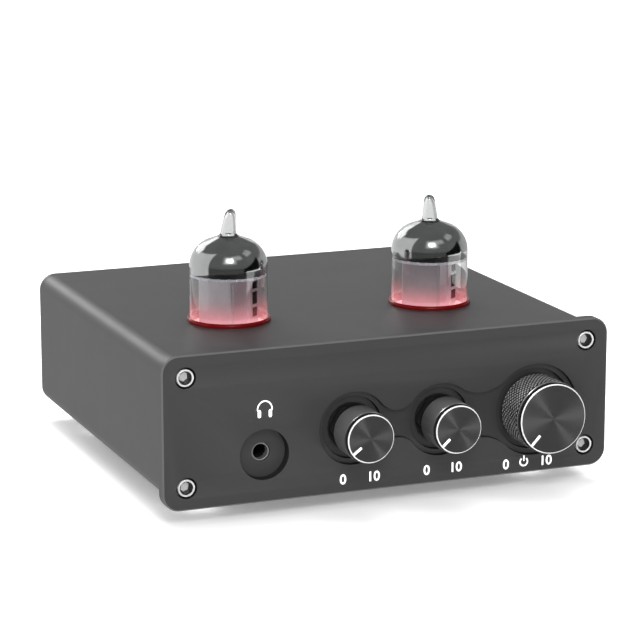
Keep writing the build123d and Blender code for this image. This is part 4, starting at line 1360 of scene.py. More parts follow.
    def feet(self) -> None:
        """Four pale, slightly domed bumpers."""
        places = ((sx * self.foot_x, y) for sx in (-1, 1) for y in self.foot_y)
        for number, spot in enumerate(places, 1):
            self.turn(
                Tag(f"bumper_{number}", "chassis", "clear_rubber", ("feet",)),
                self.foot_profile, spot, "bumper_rubber", steps=6, axis=Turned.UPRIGHT,
            )

    def marks(self) -> None:
        """White printed pictograms and the numbers that start and end each dial."""
        printer = Printer(self.looks, LAYOUT.face_y)
        x, z, size = self.headphone_mark
        printer.headphones("mark_headphones", (x, z), size)
        x, z, size = self.power_mark
        printer.power("mark_power", (x, z), size)
        for label, low, high, base in self.dials:
            printer.text(f"mark_{label}_low", "0", (low, base), self.digit_size)
            printer.text(f"mark_{label}_high", "10", (high, base), self.digit_size)


@dataclass
class Printer(Maker):
    """Prints thin flat marks on a plate that faces the front."""

    y: float
    thickness: float = 0.02
    sunk: float = 0.01
    boldness: float = 0.06
    letter_scale: float = 1.25

    def _plate(self, draft: Draft, outline: Sequence[Flat]) -> None:
        """Add one thin flat shape.

        Args:
            draft: the mesh being drawn.
            outline: its outline.
        """
        near = draft.flat_ring(outline, self.y - self.thickness)
        far = draft.flat_ring(outline, self.y + self.sunk)
        draft.region([near])
        draft.region([far])
        draft.strip(near, far, smooth=False)

    def headphones(self, name: str, centre: Flat, size: float) -> None:
        """A pair of headphones: a band over two ear pads.

        Args:
            name: name of the mark.
            centre: its middle.
            size: overall height.
        """
        draft = Draft()
        x, low = centre[0], centre[1] - size * 0.04
        outer, inner = size * 0.44, size * 0.375
        turns = [math.pi * i / 32 for i in range(33)]
        self._plate(draft, [
            (x + radius * math.cos(a), low + radius * 1.14 * math.sin(a))
            for radius, angles in ((outer, turns), (inner, reversed(turns))) for a in angles
        ])
        for side in (-1, 1):
            pad = (x + side * size * 0.305, low - size * 0.21)
            self._plate(draft, soft_box(pad, size * 0.18, size * 0.42, size * 0.085, 6))
            self._plate(draft, [
                (x + side * outer, low + 0.05), (x + side * inner, low + 0.05),
                (x + side * size * 0.33, low - size * 0.12),
                (x + side * size * 0.385, low - size * 0.12),
            ])
        self.close(draft, Tag(name, "chassis", "anodised_case"), "white_print")

    def power(self, name: str, centre: Flat, radius: float) -> None:
        """A power sign: an open ring with a bar in its gap.

        Args:
            name: name of the mark.
            centre: its middle.
            radius: outer radius.
        """
        draft = Draft()
        start, stop = math.radians(90 + 38), math.radians(450 - 38)
        turns = [start + (stop - start) * i / 36 for i in range(37)]
        self._plate(draft, [
            polar(centre, size, a)
            for size, angles in ((radius, turns), (radius * 0.68, reversed(turns))) for a in angles
        ])
        bar = (centre[0], centre[1] + radius * 0.72)
        self._plate(draft, soft_box(bar, radius * 0.3, radius * 1.15, radius * 0.06, 3))
        self.close(draft, Tag(name, "chassis", "anodised_case"), "white_print")

    def text(self, name: str, words: str, foot: Flat, size: float) -> None:
        """Plain numbers.

        Args:
            name: name of the mark.
            words: the digits.
            foot: middle of their base line.
            size: letter size.
        """
        curve = bpy.data.curves.new(name, "FONT")
        curve.body = words
        curve.align_x = "CENTER"
        curve.size = size * MM * self.letter_scale
        curve.offset = self.boldness * MM
        curve.extrude = self.thickness * MM
        holder = linked(name + "_draft", curve)
        graph = bpy.context.evaluated_depsgraph_get()
        mesh = bpy.data.meshes.new_from_object(holder.evaluated_get(graph))
        place = Matrix.Translation((foot[0] * MM, self.y * MM, foot[1] * MM))
        mesh.transform(place @ Matrix.Rotation(math.pi / 2, 4, "X"))
        bpy.data.objects.remove(holder)
        bpy.data.curves.remove(curve)
        mesh.name = name
        mesh.materials.clear()
        mesh.materials.append(self.looks.get("white_print"))
        Tag(name, "chassis", "anodised_case").settle(linked(name, mesh))


# ======== controls
class Grip(Enum):
    """How the side of a knob is finished."""

    SMOOTH = "smooth"
    KNURLED = "knurled"


class KnobSlot(IntEnum):
    """Finish slots of a knob shell."""

    GRIP = 0
    FACE = 1
    RIM = 2
    # DARK is painted shade: the groove and gap behind the face, and the knurl's valleys and ends
    DARK = 3
    CORNER = 4


@dataclass
class Knob(Maker):
    """Turned knob shell with a spun face, a bright cut rim that is partly a painted highlight, and
    a white pointer.

    Its front and rear are measured from the front plate's face.
    """

    name: str
    x: float
    radius: float
    front: float
    rear: float
    cavity: float
    grip: Grip
    pointer_start: float
    pointer_angle: float
    cap: float = 2.0
    rim_step: float = 0.3
    cut: float = 0.25
    face_gap: float = 0.02
    groove: float = 0.4
    lip: float = 1.7
    knurl_depth: float = 0.3
    knurl_count: int = 96
    knurl_flat: float = 0.62
    knurl_end: float = 0.35
    pointer_half: float = 0.29
    pointer_corner: float = 0.12
    pointer_rise: float = 0.018

    def build(self) -> None:
        """Make the shell and its pointer."""
        face = LAYOUT.face_y + self.front + self.face_gap
        rear = LAYOUT.face_y + self.rear
        centre, outside = (self.x, LAYOUT.knob_z), self.radius
        rim = outside - self.rim_step
        dark = KnobSlot.DARK
        # the groove and the step behind the face are painted dark as the shade of the gap
        front_part = [
            Turn(0.0, face, 0.0, KnobSlot.FACE), Turn(rim - self.cut, face, 0.0, KnobSlot.RIM),
            Turn(rim, face + self.cut * 0.9, 0.0, dark), Turn(rim, face + 0.5, 0.0, dark),
            Turn(rim - self.groove, face + 0.52, 0.0, dark),
            Turn(rim - self.groove, face + 1.3, 0.0, dark),
            Turn(outside - 0.14, face + 1.34, 0.0, KnobSlot.CORNER), Turn(outside, face + 1.46),
        ]
        inside = [
            Turn(self.cavity, rear, 0.1), Turn(self.cavity, face + self.cap),
            Turn(0.0, face + self.cap),
        ]
        draft = Draft()
        if self.grip is Grip.SMOOTH:
            profile = [*front_part, Turn(outside, rear, 0.25), *inside]
            draft.lathe(rounded_profile(profile, 3), centre, count=128)
        else:
            start, stop = face + self.lip, rear - self.knurl_end
            low = outside - self.knurl_depth
            draft.lathe(rounded_profile([
                *front_part, Turn(outside, start, 0.05), Turn(low, start + 0.12),
            ], 3), centre, count=144)
            self.knurl(draft, start + 0.12, stop)
            back_part = [Turn(low, stop), Turn(low, rear, 0.1), *inside]
            draft.lathe(rounded_profile(back_part, 3), centre, count=144)
        middle = (self.x, 0.0, LAYOUT.knob_z)
        side = TurnedFinish(f"{self.name}_turned_side", (0.17, 0.17, 0.172), middle, stretch=0.85)
        self.close(
            draft,
            Tag(f"{self.name}_knob_shell", f"{self.name}_control", "knob_metal",
                (f"{self.name}_knob",)),
            "knob_knurl" if self.grip is Grip.KNURLED else side,
            TurnedFinish(f"{self.name}_spun_face", (0.115, 0.115, 0.117), middle,
                         metallic=0.85, stretch=0.94),
            # partly bright cut metal, partly painted highlight: the rim is half diffuse white so it
            # stays bright however the light falls
            TurnedFinish(f"{self.name}_cut_rim_painted_highlight", (0.95, 0.95, 0.95), middle,
                         roughness=0.3, pitch=0.05, relief=0.0002, metallic=0.5),
            "recess_wall_painted_shade", "cut_corner",
        )
        self.pointer(face, rim)

    def knurl(self, draft: Draft, start: float, stop: float) -> None:
        """Cut a band of small pyramids with flat tops.

        Args:
            draft: the mesh being drawn.
            start: front end of the band.
            stop: rear end of the band.
        """
        around, flat = self.knurl_count, self.knurl_flat
        rows = 2 * round((stop - start) / (FULL_TURN * self.radius / around) / 2)
        high, low = self.radius - 0.02, self.radius - self.knurl_depth

        def spot(row: float, column: float, radius: float) -> int:
            """Add one point of the band."""
            px, pz = polar((self.x, LAYOUT.knob_z), radius, FULL_TURN * column / around)
            return draft.ring([(px, start + (stop - start) * row / rows, pz)])[0]

        grid = {
            (row, i): spot(row, i, low) for row in range(rows + 1) for i in range(around)
            if (i + row) % 2 or row in (0, rows)
        }
        for row in range(rows + 1):
            for i in range(row % 2, around, 2):
                left, right = grid[row, (i - 1) % around], grid[row, (i + 1) % around]
                if row in (0, rows):
                    inner = grid[abs(row - 1), i]
                    draft.face((left, grid[row, i], inner), KnobSlot.DARK)
                    draft.face((grid[row, i], right, inner), KnobSlot.DARK)
                    continue
                foot = (left, grid[row - 1, i], right, grid[row + 1, i])
                top = [
                    spot(row + a, i + b, high)
                    for a, b in ((0, -flat), (-flat, 0), (0, flat), (flat, 0))
                ]
                # flat tops take the lighter knurl finish and the sides the painted shade, so the
                # pattern shows as painted glints on dark
                draft.face(top, KnobSlot.GRIP)
                for k in range(4):
                    n = (k + 1) % 4
                    draft.face((top[k], top[n], foot[n], foot[k]), KnobSlot.DARK)

    def pointer(self, face: float, rim: float) -> None:
        """Lay the white pointer line on the face.

        Args:
            face: depth of the knob's face.
            rim: radius of its rim.
        """
        draft = Draft()
        turn = math.radians(self.pointer_angle)
        start, stop = self.pointer_start, rim - self.cut + 0.02
        along = Vector((math.cos(turn), math.sin(turn)))
        across = Vector((-along.y, along.x))
        outline: list[Flat] = []
        for length, width in soft_box(
            ((start + stop) / 2, 0.0), stop - start, 2 * self.pointer_half, self.pointer_corner, 4,
        ):
            spot = along * length + across * width
            outline.append((self.x + spot.x, LAYOUT.knob_z + spot.y))
        near = draft.flat_ring(outline, face - self.pointer_rise)
        far = draft.flat_ring(outline, face + 0.02)
        draft.face(near)
        draft.face(far)
        draft.strip(near, far, smooth=False)
        self.close(
            draft, Tag(f"{self.name}_pointer", f"{self.name}_control", "knob_metal"), "white_print",
        )


# ======== headphone socket
@dataclass
class HeadphoneSocket(Maker):
    """Metal nose ring of the headphone socket, behind the dish."""

    centre: Flat = (-31.2, 15.0)
    bore: float = 1.8
    outer: float = 2.12
    front: float = -48.15
    back: float = -46.4

    def build(self) -> None:
        """Turn the ring."""
        self.turn(Tag("socket_nose_ring", "chassis", "plated_metal", ("headphone_jack_ring",)), [
            (self.bore, self.front + 0.1), (self.bore + 0.1, self.front, 0.05),
            (self.outer, self.front, 0.08), (self.outer, self.back), (self.bore, self.back),
            (self.bore, self.front + 0.1),
        ], self.centre, "dark_nickel")


# ======== tubes
@dataclass
class Tube(Maker):
    """One plug-in tube: envelope, film, cage, wires and pins, and the collar it stands in.

    Heights named here are measured from the case top, cage_turn is in degrees, and lean is how far
    the end of the drawn tip stands to the right. A window is (near, far) along the cage, its levels
    in windows are (low, high), and a grid is (reach, depth).
    """

    name: str
    x: float
    cage_turn: float
    lean: float
    window: Flat
    seat: float = -11.5
    dome_radius: float = 2.5
    dome_height: float = 13.1
    dome_sweep: float = 60.0
    slope: float = 0.388
    wall: float = 0.16
    radius: float = 9.3
    waist: float = 6.0
    neck: float = 20.6
    top: float = 26.6
    tip: tuple[Corner, ...] = (
        (2.05, 20.6, 0.5), (1.88, 21.3, 0.3), (1.66, 22.9, 0.3), (1.47, 24.5, 0.5),
        (1.24, 25.7, 0.4), (0.86, 26.35, 0.3), (0.3, 26.58, 0.1), (0.0, 26.6),
    )
    tip_inside: tuple[Corner, ...] = (
        (1.5, 20.7, 0.3), (1.2, 22.9, 0.3), (0.95, 24.5, 0.3), (0.5, 25.6, 0.2), (0.0, 25.8),
    )
    film_gap: float = 0.02
    film_thickness: float = 0.08
    film_edges: Point = (11.25, 12.75, 13.3)
    mica: float = 9.08
    mica_levels: Flat = (-1.5, 10.9)
    mica_thickness: float = 0.65
    mica_teeth: int = 24
    mica_notch: float = 0.32
    mica_slot: Point = (2.6, 0.8, 0.3)
    cage: Flat = (11.6, 9.6)
    sheet: float = 0.16
    rib: float = 0.8
    windows: tuple[Flat, ...] = ((0.7, 2.95), (3.65, 6.7), (7.4, 9.2))
    cathode: float = 0.6
    rod: float = 0.26
    rods: tuple[float, ...] = (2.0, -2.0, 3.4, -3.4)
    grids: tuple[Flat, ...] = ((2.0, 1.3), (3.4, 2.2))
    grid_turns: int = 14
    grid_wire: float = 0.05
    getter: Point = (4.6, 2.2, 1.7)
    lead_wire: float = 0.2
    lead_ends: tuple[Flat, ...] = (
        (3.4, 0.0), (4.4, 3.4), (2.0, 0.0), (0.0, 0.6), (-2.0, 0.0), (-4.4, -3.4), (-3.4, 0.0),
    )
    pin_circle: float = 4.765
    pin_radius: float = 0.508
    pin_length: float = 7.1
    collar_inside: float = 9.42
    collar_neck: float = 9.75
    collar_outside: float = 10.0

    def build(self) -> None:
        """Make the tube and its collar."""
        self.envelope()
        self.film()
        self.micas()
        self.plates()
        self.wires()
        self.pins()
        self.collar()

    def tag(self, piece: str, slot: str, *nodes: str) -> Tag:
        """Tag of a piece that moves with the tube, from the last words of its names."""
        stood_for = tuple(f"{self.name}_{node}" for node in nodes)
        return Tag(f"{self.name}_{piece}", self.name, slot, stood_for)

    @property
    def centre(self) -> Flat:
        """The tube's axis, as (x, y)."""
        return self.x, LAYOUT.tube_y

    def up(self, height: float) -> float:
        """Height above the table of a height above the case top."""
        return LAYOUT.case_top + height

    def raised(self, corners: Sequence[Corner]) -> list[Turn]:
        """Corners whose heights are measured from the case top."""
        return [Turn(radius, self.up(height), *soft) for radius, height, *soft in corners]

    def pin_points(self) -> list[Flat]:
        """The seven pin centres."""
        return [
            polar(self.centre, self.pin_circle, math.radians(270 + 45 * i)) for i in range(1, 8)
        ]

    def dome(self, radius: float, steps: int = 14) -> list[Turn]:
        """Shoulder arc of one layer of the envelope.

        Args:
            radius: radius of the arc.
            steps: straight pieces in it.

        Returns:
            The arc's points, from the wall up.
        """
        middle = (self.dome_radius, self.up(self.dome_height))
        sweep = math.radians(self.dome_sweep)
        return [Turn(*polar(middle, radius, sweep * i / steps)) for i in range(steps + 1)]

    def cone(self, start: Turn, radius: float) -> Turn:
        """Point on the shallow cone that runs in from the top of the shoulder."""
        return Turn(radius, start.along + self.slope * (start.radius - radius))

    def envelope(self) -> None:
        """Blown glass with its drawn tip, outer and inner surface."""
        draft = Draft()
        seat = self.up(self.seat)
        shoulder = self.dome(self.radius - self.dome_radius)
        root = self.cone(shoulder[-1], 2.7)
        outside = [
            Turn(0.0, seat), Turn(self.radius - 1.8, seat, 0.5), Turn(self.radius, seat + 1.9, 1.6),
            Turn(self.radius, self.up(self.waist)), *shoulder, self.cone(shoulder[-1], 4.4),
            Turn(root.radius, root.along, 0.9), *self.raised(self.tip),
        ]
        draft.lathe(rounded_profile(outside, 6), self.centre, Turned.UPRIGHT, 128)
        inner_wall = self.radius - self.wall
        inner = self.dome(inner_wall - self.dome_radius)
        button = seat + 2.2
        inside = [
            Turn(0.0, button), Turn(inner_wall - 1.0, button, 0.4),
            Turn(inner_wall, button + 1.0, 0.5), Turn(inner_wall, self.up(self.waist)), *inner,
            Turn(2.1, self.cone(inner[-1], 2.1).along, 0.4), *self.raised(self.tip_inside),
        ]
        draft.lathe(rounded_profile(inside, 6), self.centre, Turned.UPRIGHT, 128, cavity=True)
        neck, top = self.up(self.neck), self.up(self.top)
        draft.points = [
            (px + self.lean * max(0.0, (pz - neck) / (top - neck)) ** 1.3, py, pz)
            for px, py, pz in draft.points
        ]
        self.close(draft, self.tag("envelope", "tube_glass", "glass"), GlassFinish("tube_glass"),
                   sharp=GLASS_SHARP_ANGLE)

    def film_edge(self, angle: float) -> float:
        """The film's uneven lower edge.

        Args:
            angle: place round the tube.

        Returns:
            Height above the case top.
        """
        low, middle, high = self.film_edges
        left = 0.5 + 0.5 * math.cos(angle - math.radians(165))
        right = 0.5 + 0.5 * math.cos(angle - math.radians(-25))
        height = middle + (low - middle) * left ** 6 + (high - middle) * right ** 3
        ripple = (
            math.sin(7 * angle + self.x) + 0.6 * math.sin(17 * angle)
            + 0.4 * math.sin(31 * angle + 1.0)
        )
        return height + 0.05 * ripple * (0.3 + right)

    def film(self) -> None:
        """Dark getter film under the dome, down to its uneven edge."""
        draft = Draft()
        outer = self.radius - self.wall - self.dome_radius - self.film_gap
        angles = [FULL_TURN * i / 128 for i in range(128)]
        layers: list[list[list[int]]] = []
        for inset in (0.0, self.film_thickness):
            arc = self.dome(outer - inset)[1:]
            arc.append(self.cone(arc[-1], 1.9))
            wall = self.dome_radius + outer - inset
            rings = [draft.ring([
                (*polar(self.centre, wall, a), self.up(self.film_edge(a))) for a in angles
            ])]
            for turn in arc:
                level = [polar(self.centre, turn.radius, a) for a in angles]
                rings.append(draft.level_ring(level, turn.along))
            for first, second in zip(rings, rings[1:]):
                draft.strip(first, second)
            layers.append(rings)
        for end in (0, -1):
            draft.strip(layers[0][end], layers[1][end])
        self.close(draft, self.tag("film", "getter_mirror", "getter"), GetterFinish("getter_film"),
                   sharp=GLASS_SHARP_ANGLE)

    def placed(self, u: float, v: float) -> Flat:
        """Turn a point of the cage's own plan.

        Args:
            u: its place along the long side.
            v: its place across.

        Returns:
            The point in the frame's x and y.
        """
        turn = math.radians(self.cage_turn)
        return (
            self.x + u * math.cos(turn) - v * math.sin(turn),
            LAYOUT.tube_y + u * math.sin(turn) + v * math.cos(turn),
        )

    def micas(self) -> None:
        """Two spacers with toothed rims that hold the cage off the glass."""
        draft = Draft()
        per_tooth = 8
        count = self.mica_teeth * per_tooth
        # the lower spacer is painted with the lamp's light all over, the upper one's top with
        # painted shade
        for level, (base, face) in zip(self.mica_levels, ((1, 1), (0, 2))):
            rim: list[Flat] = []
            for i in range(count):
                radius = self.mica - (self.mica_notch if i % per_tooth in (3, 4) else 0.0)
                rim.append(self.placed(*polar((0.0, 0.0), radius, FULL_TURN * i / count)))
            outlines = [rim] + [
                [self.placed(u, v) for u, v in soft_box((0.0, middle), *self.mica_slot, 4)]
                for middle in (3.0, -3.0)
            ]
            heights = (self.up(level), self.up(level) + self.mica_thickness)
            pairs = [[draft.level_ring(outline, z) for z in heights] for outline in outlines]
            draft.region([low for low, _ in pairs], base)
            draft.region([high for _, high in pairs], face)
            for index, (low, high) in enumerate(pairs):
                draft.strip(low, high, base, smooth=index > 0)
        self.close(draft, self.tag("spacers", "tube_mica", "micas"),
                   "mica_sheet", "mica_painted_lamplight", "mica_top_painted_shade")

    def cage_plan(self, inset: float) -> list[Flat]:
        """Plan of the folded plate, with the window edges as corners.

        Args:
            inset: how far the plan is moved inward.

        Returns:
            Closed plan in the cage's own axes: cut corners, and a pressed rib on each long side.
        """
        w, d = self.cage[0] / 2 - inset, self.cage[1] / 2 - inset
        cut = 0.5 - 0.2 * inset
        near, far = self.window
        side = [
            (-w, d - cut), (-w, -d + 0.1), (-w + 0.1, -d), (-w + 1.3, -d + 0.35), (-w + 1.4, -d),
            (-0.55, -d), (-0.35, -d + self.rib), (1.75, -d + self.rib), (1.95, -d), (near, -d),
            (far, -d), (w - cut, -d),
        ]
        return side + [(-u, -v) for u, v in side]

    def plates(self) -> None:
        """Folded nickel cage with three windows on each long side."""
        draft = Draft()
        low = self.up(self.mica_levels[0] + self.mica_thickness)
        high = self.up(self.mica_levels[1])
        levels = [low] + [self.up(v) for pair in self.windows for v in pair] + [high]
        plans = (
            [self.placed(*spot) for spot in self.cage_plan(inset)] for inset in (0.0, self.sheet)
        )
        outer, inner = ([draft.level_ring(plan, z) for z in levels] for plan in plans)
        gaps = (9, 21)
        for k in range(len(levels) - 1):
            is_window = k % 2 == 1
            skip = gaps if is_window else ()
            o, p, q, r = outer[k], outer[k + 1], inner[k + 1], inner[k]
            draft.strip(o, p, smooth=False, skip=skip)
            # inner faces take the nearly black painted shade
            draft.strip(r, q, 1, smooth=False, skip=skip)
            for g in skip:
                n = g + 1
                for frame_side in (
                    (o[g], o[n], r[n], r[g]), (p[g], p[n], q[n], q[g]),
                    (o[g], p[g], q[g], r[g]), (o[n], p[n], q[n], r[n]),
                ):
                    draft.face(frame_side)
        for end in (0, -1):
            draft.strip(outer[end], inner[end], smooth=False)
        self.close(draft, self.tag("cage", "tube_nickel", "plates"), "tube_nickel", "cage_inside_painted_shade")

    def wires(self) -> None:
        """Cathode sleeve, grid rods with their windings, getter ring and lead wires."""
        draft = Draft()
        low = self.up(self.mica_levels[0])
        high = self.up(self.mica_levels[1] + self.mica_thickness)
        stems = [(0.0, self.cathode, 0.6, 0.7, 24)]
        stems += [(u, self.rod, 0.9, 0.9, 16) for u in self.rods]
        for u, radius, below, above, count in stems:
            foot, head = low - below, high + above
            corners = (Turn(0.0, foot), Turn(radius, foot), Turn(radius, head), Turn(0.0, head))
            draft.lathe(corners, self.placed(u, 0), Turned.UPRIGHT, count)
        steps = self.grid_turns * 12
        for reach, depth in self.grids:
            path: list[Point] = []
            for i in range(steps + 1):
                angle = FULL_TURN * i / 12
                spot = self.placed(reach * math.cos(angle), depth * math.sin(angle))
                path.append((*spot, low + 0.9 + (high - low - 1.8) * i / steps))
            draft.wire(path, self.grid_wire, 5)
        u, v, radius = self.getter
        centre = self.placed(u, v)
        hoop = [(*polar(centre, radius, FULL_TURN * i / 24), high + 1.3) for i in range(25)]
        draft.wire(hoop, 0.26)
        foot_x, foot_y = self.placed(3.4, 0)
        draft.wire([
            (foot_x, foot_y, high + 0.6), (foot_x, foot_y, high + 1.1),
            (centre[0] - 1.2, centre[1] - 1.1, high + 1.3),
        ], 0.16)
        button = self.up(self.seat) + 2.0
        for (px, py), end in zip(self.pin_points(), self.lead_ends):
            ex, ey = self.placed(*end)
            draft.wire([
                (px, py, button), (px, py, button + 2.6),
                ((px * 2 + ex) / 3, (py * 2 + ey) / 3, button + 4.6), (ex, ey, low - 0.8),
                (ex, ey, low + 0.1),
            ], self.lead_wire)
        self.close(draft, self.tag("wires", "tube_nickel", "cathode", "grids"), "tube_wire")

    def pins(self) -> None:
        """Seven stiff pins with tapered ends."""
        draft = Draft()
        top = self.up(self.seat) + 2.6
        low = self.up(self.seat) - self.pin_length
        profile = rounded_profile([
            Turn(0.0, low), Turn(0.22, low, 0.1), Turn(self.pin_radius, low + 0.7, 0.2),
            Turn(self.pin_radius, top - 0.3, 0.1), Turn(0.3, top), Turn(0.0, top),
        ], 3)
        for spot in self.pin_points():
            draft.lathe(profile, spot, Turned.UPRIGHT, 24)
        self.close(draft, self.tag("base_pins", "contact_metal", "pins"), "nickel_plate")

    def collar(self) -> None:
        """Glossy red trim ring in the case top."""
        top = LAYOUT.case_top
        inside, neck, outside = self.collar_inside, self.collar_neck, self.collar_outside
        self.turn(Tag(f"{self.name}_trim", "chassis", "red_collar", (f"{self.name}_collar",)), [
            (inside, top - 1.6), (neck, top - 1.6), (neck, top - 0.01), (outside, top - 0.01, 0.05),
            (outside, top + 0.62, 0.3), (9.7, top + 1.0, 0.25), (inside, top + 1.0, 0.1),
            (inside, top - 1.6),
        ], self.centre, "collar_red", steps=5, count=128, axis=Turned.UPRIGHT)


# ======== rear sockets
@dataclass
class RearSockets(Maker):
    """Phono sockets, power socket and ground post on the rear plate.

    The shell is (bore, thread, rim), the insert and the contact are (inside, outside), the stud's
    head is (radius, length) and the washer is (bore, rim, thickness).
    """

    rca_z: float = 21.8
    rca_x: tuple[float, ...] = (24.0, 38.0, -19.0, -5.0)
    left_x: Flat = (38.0, -5.0)
    dc: Flat = (-40.0, 18.2)
    ground_x: float = 9.5
    inner: float = 41.3
    shell: Point = (3.55, 3.95, 4.15)
    insert: Flat = (2.02, 3.54)
    contact: Flat = (1.6, 2.0)
    power_pin: float = 1.05
    stud: float = 2.0
    thread_root: float = 1.68
    thread_pitch: float = 0.7
    stud_head: Flat = (4.0, 2.5)
    washer: Point = (2.2, 4.5, 0.8)
    washer_stand: float = 2.25
    nut_bore: float = 2.05
    nut_rib: float = 0.18
    nut_ribs: int = 48

    def build(self) -> None:
        """Make everything on the rear plate."""
        for number, x in enumerate(self.rca_x, 1):
            self.phono(number, x)
        self.power()
        self.ground()

    def phono(self, number: int, x: float) -> None:
        """One phono socket: plated shell, coloured insert and centre contact.

        Args:
            number: number in its name.
            x: place along the plate.
        """
        end, inner = LAYOUT.rear_end, self.inner
        step = LAYOUT.rear_y + 0.1
        spot = (x, self.rca_z)
        side, colour = ("left", "insert_white") if x in self.left_x else ("right", "insert_red")
        bore, thread, rim = self.shell
        self.turn(Tag(f"phono_shell_{number}", "chassis", "plated_metal", ("rca_shells",)), [
            (bore, inner), (thread, inner), (thread, step), (rim, step, 0.08), (rim, end, 0.3),
            (bore, end, 0.15), (bore, inner),
        ], spot, "nickel_plate", steps=4, count=96)
        near, far = self.insert
        self.turn(Tag(f"phono_insert_{number}", "chassis", colour, (f"rca_{side}_inserts",)), [
            (near, inner), (far, inner), (far, end - 0.8, 0.2), (near, end - 0.8, 0.2),
            (near, inner),
        ], spot, colour)
        near, far = self.contact
        self.turn(Tag(f"phono_contact_{number}", "chassis", "contact_metal", ("rca_contacts",)), [
            (near, inner), (far, inner), (far, end - 1.2, 0.12), (near, end - 1.2, 0.12),
            (near, inner),
        ], spot, "gold_plate", count=48)

    def power(self) -> None:
        """Centre pin of the power socket, with a domed end."""
        mouth, radius = LAYOUT.rear_y + 0.6, self.power_pin
        self.turn(Tag("power_pin", "chassis", "contact_metal", ("dc_jack_pin",)), [
            (0.0, mouth - 1.0), (radius, mouth - 1.0, 0.6), (radius, mouth - 9.5),
            (0.0, mouth - 9.5),
        ], self.dc, "nickel_plate", steps=5, count=32)

    def ground(self) -> None:
        """Threaded stud, lock nut, clamp washer and knurled thumb nut."""
        spot = (self.ground_x, self.rca_z)
        end, plate, inside = LAYOUT.rear_end, LAYOUT.rear_y, LAYOUT.case_back
        crest, root, pitch = self.stud, self.thread_root, self.thread_pitch
        y = end - 0.4
        corners: list[Corner] = [(0.0, end), (1.6, end), (crest, y)]
        while y - pitch > plate + 0.1:
            corners += [(crest, y - 0.1), (root, y - 0.35), (crest, y - 0.6)]
            y -= pitch
        head, length = self.stud_head
        foot = inside - length
        corners += [(crest, inside), (head, inside), (head, foot), (0.0, foot)]
        self.turn(Tag("ground_post_stud", "chassis", "plated_metal", ("ground_stud",)),
                  corners, spot, "nickel_plate", count=48)
        near = plate + self.washer_stand
        bore, rim, thick = self.washer
        self.turn(Tag("ground_post_washer", "ground_clamp", "plated_metal", ("ground_washer",)), [
            (bore, near), (rim, near, 0.15), (rim, near + thick, 0.2), (bore, near + thick, 0.1),
            (bore, near),
        ], spot, "nickel_plate")
        start = near + 0.85

        def ribs(angle: float, along: float) -> float:
            """Straight knurling on the wide part of the nut."""
            wide = start + 0.95 < along < start + 4.4
            return -self.nut_rib * (0.5 + 0.5 * math.cos(angle * self.nut_ribs)) if wide else 0.0

        bore = self.nut_bore
        self.turn(Tag("ground_post_nut", "ground_nut", "plated_metal", ("ground_thumb_nut",)), [
            (bore, start), (3.8, start, 0.1), (3.8, start + 0.8), (4.7, start + 0.95),
            (5.0, start + 1.25), (5.0, start + 4.1), (4.7, start + 4.45), (4.1, start + 4.6, 0.15),
            (2.35, start + 4.6, 0.1), (bore, start + 4.3), (bore, start),
        ], spot, "gold_plate", count=384, wave=ribs)


# ======== what stays from the source
NODE_LOOKS = {
    "moulded_black": (
        "treble_knob_hub", "bass_knob_hub", "volume_knob_hub", "op_amps", "rca_input_block",
        "rca_output_block", "dc_jack",
    ),
    "bright_steel": ("treble_shaft", "bass_shaft", "volume_shaft"),
    "dark_hardware": ("treble_pot", "bass_pot", "volume_pot", "pot_nuts", "pot_washers"),
    "tinned": ("pot_terminals", "headphone_contacts", "tube_socket_contacts"),
    # the headphone socket body takes the painted shade of its bore
    "void_painted_shade": ("headphone_jack",),
    "socket_ceramic": ("left_tube_socket", "right_tube_socket"),
    "led_red": ("tube_leds",),
    "solder_mask": ("main_board",),
    "can_sleeve": ("electrolytic_capacitors",),
    "film_dip": ("film_capacitors",),
    "nickel_plate": ("ground_lock_nut",),
}


def dress_nodes(frame: dict, looks: Looks) -> None:
    """Give every carried-over part its finish.

    Args:
        frame: the loaded frame.
        looks: the shelf of finishes.
    """
    for name, nodes in NODE_LOOKS.items():
        for node in nodes:
            for slot in frame["nodes"][node].material_slots:
                slot.material = looks.get(name)
            log.info("%s wears %s", node, name)


# ======== studio
@dataclass(frozen=True)
class StudioPanel:
    """One bright or dark panel of the surroundings, in degrees of azimuth and elevation."""

    azimuth: float
    half_width: float
    bottom: float
    top: float
    slope: float
    softness: float
    strength: float


@dataclass(frozen=True)
class SoftBox:
    """One rectangular light: its place, aim, size and watts, and whether polished parts show it."""

    name: str
    place: Point
    aim: Point
    size: Flat
    power: float
    gleam: bool = False

    def hang(self) -> None:
        """Hang the light."""
        lamp = bpy.data.lights.new(self.name, "AREA")
        lamp.shape = "RECTANGLE"
        lamp.size, lamp.size_y = (side * MM for side in self.size)
        lamp.energy = self.power
        holder = linked(self.name, lamp)
        holder.visible_glossy = self.gleam
        holder.visible_transmission = False
        spot = Vector(self.place) * MM
        holder.location = spot
        holder.rotation_euler = (Vector(self.aim) * MM - spot).to_track_quat("-Z", "Y").to_euler()


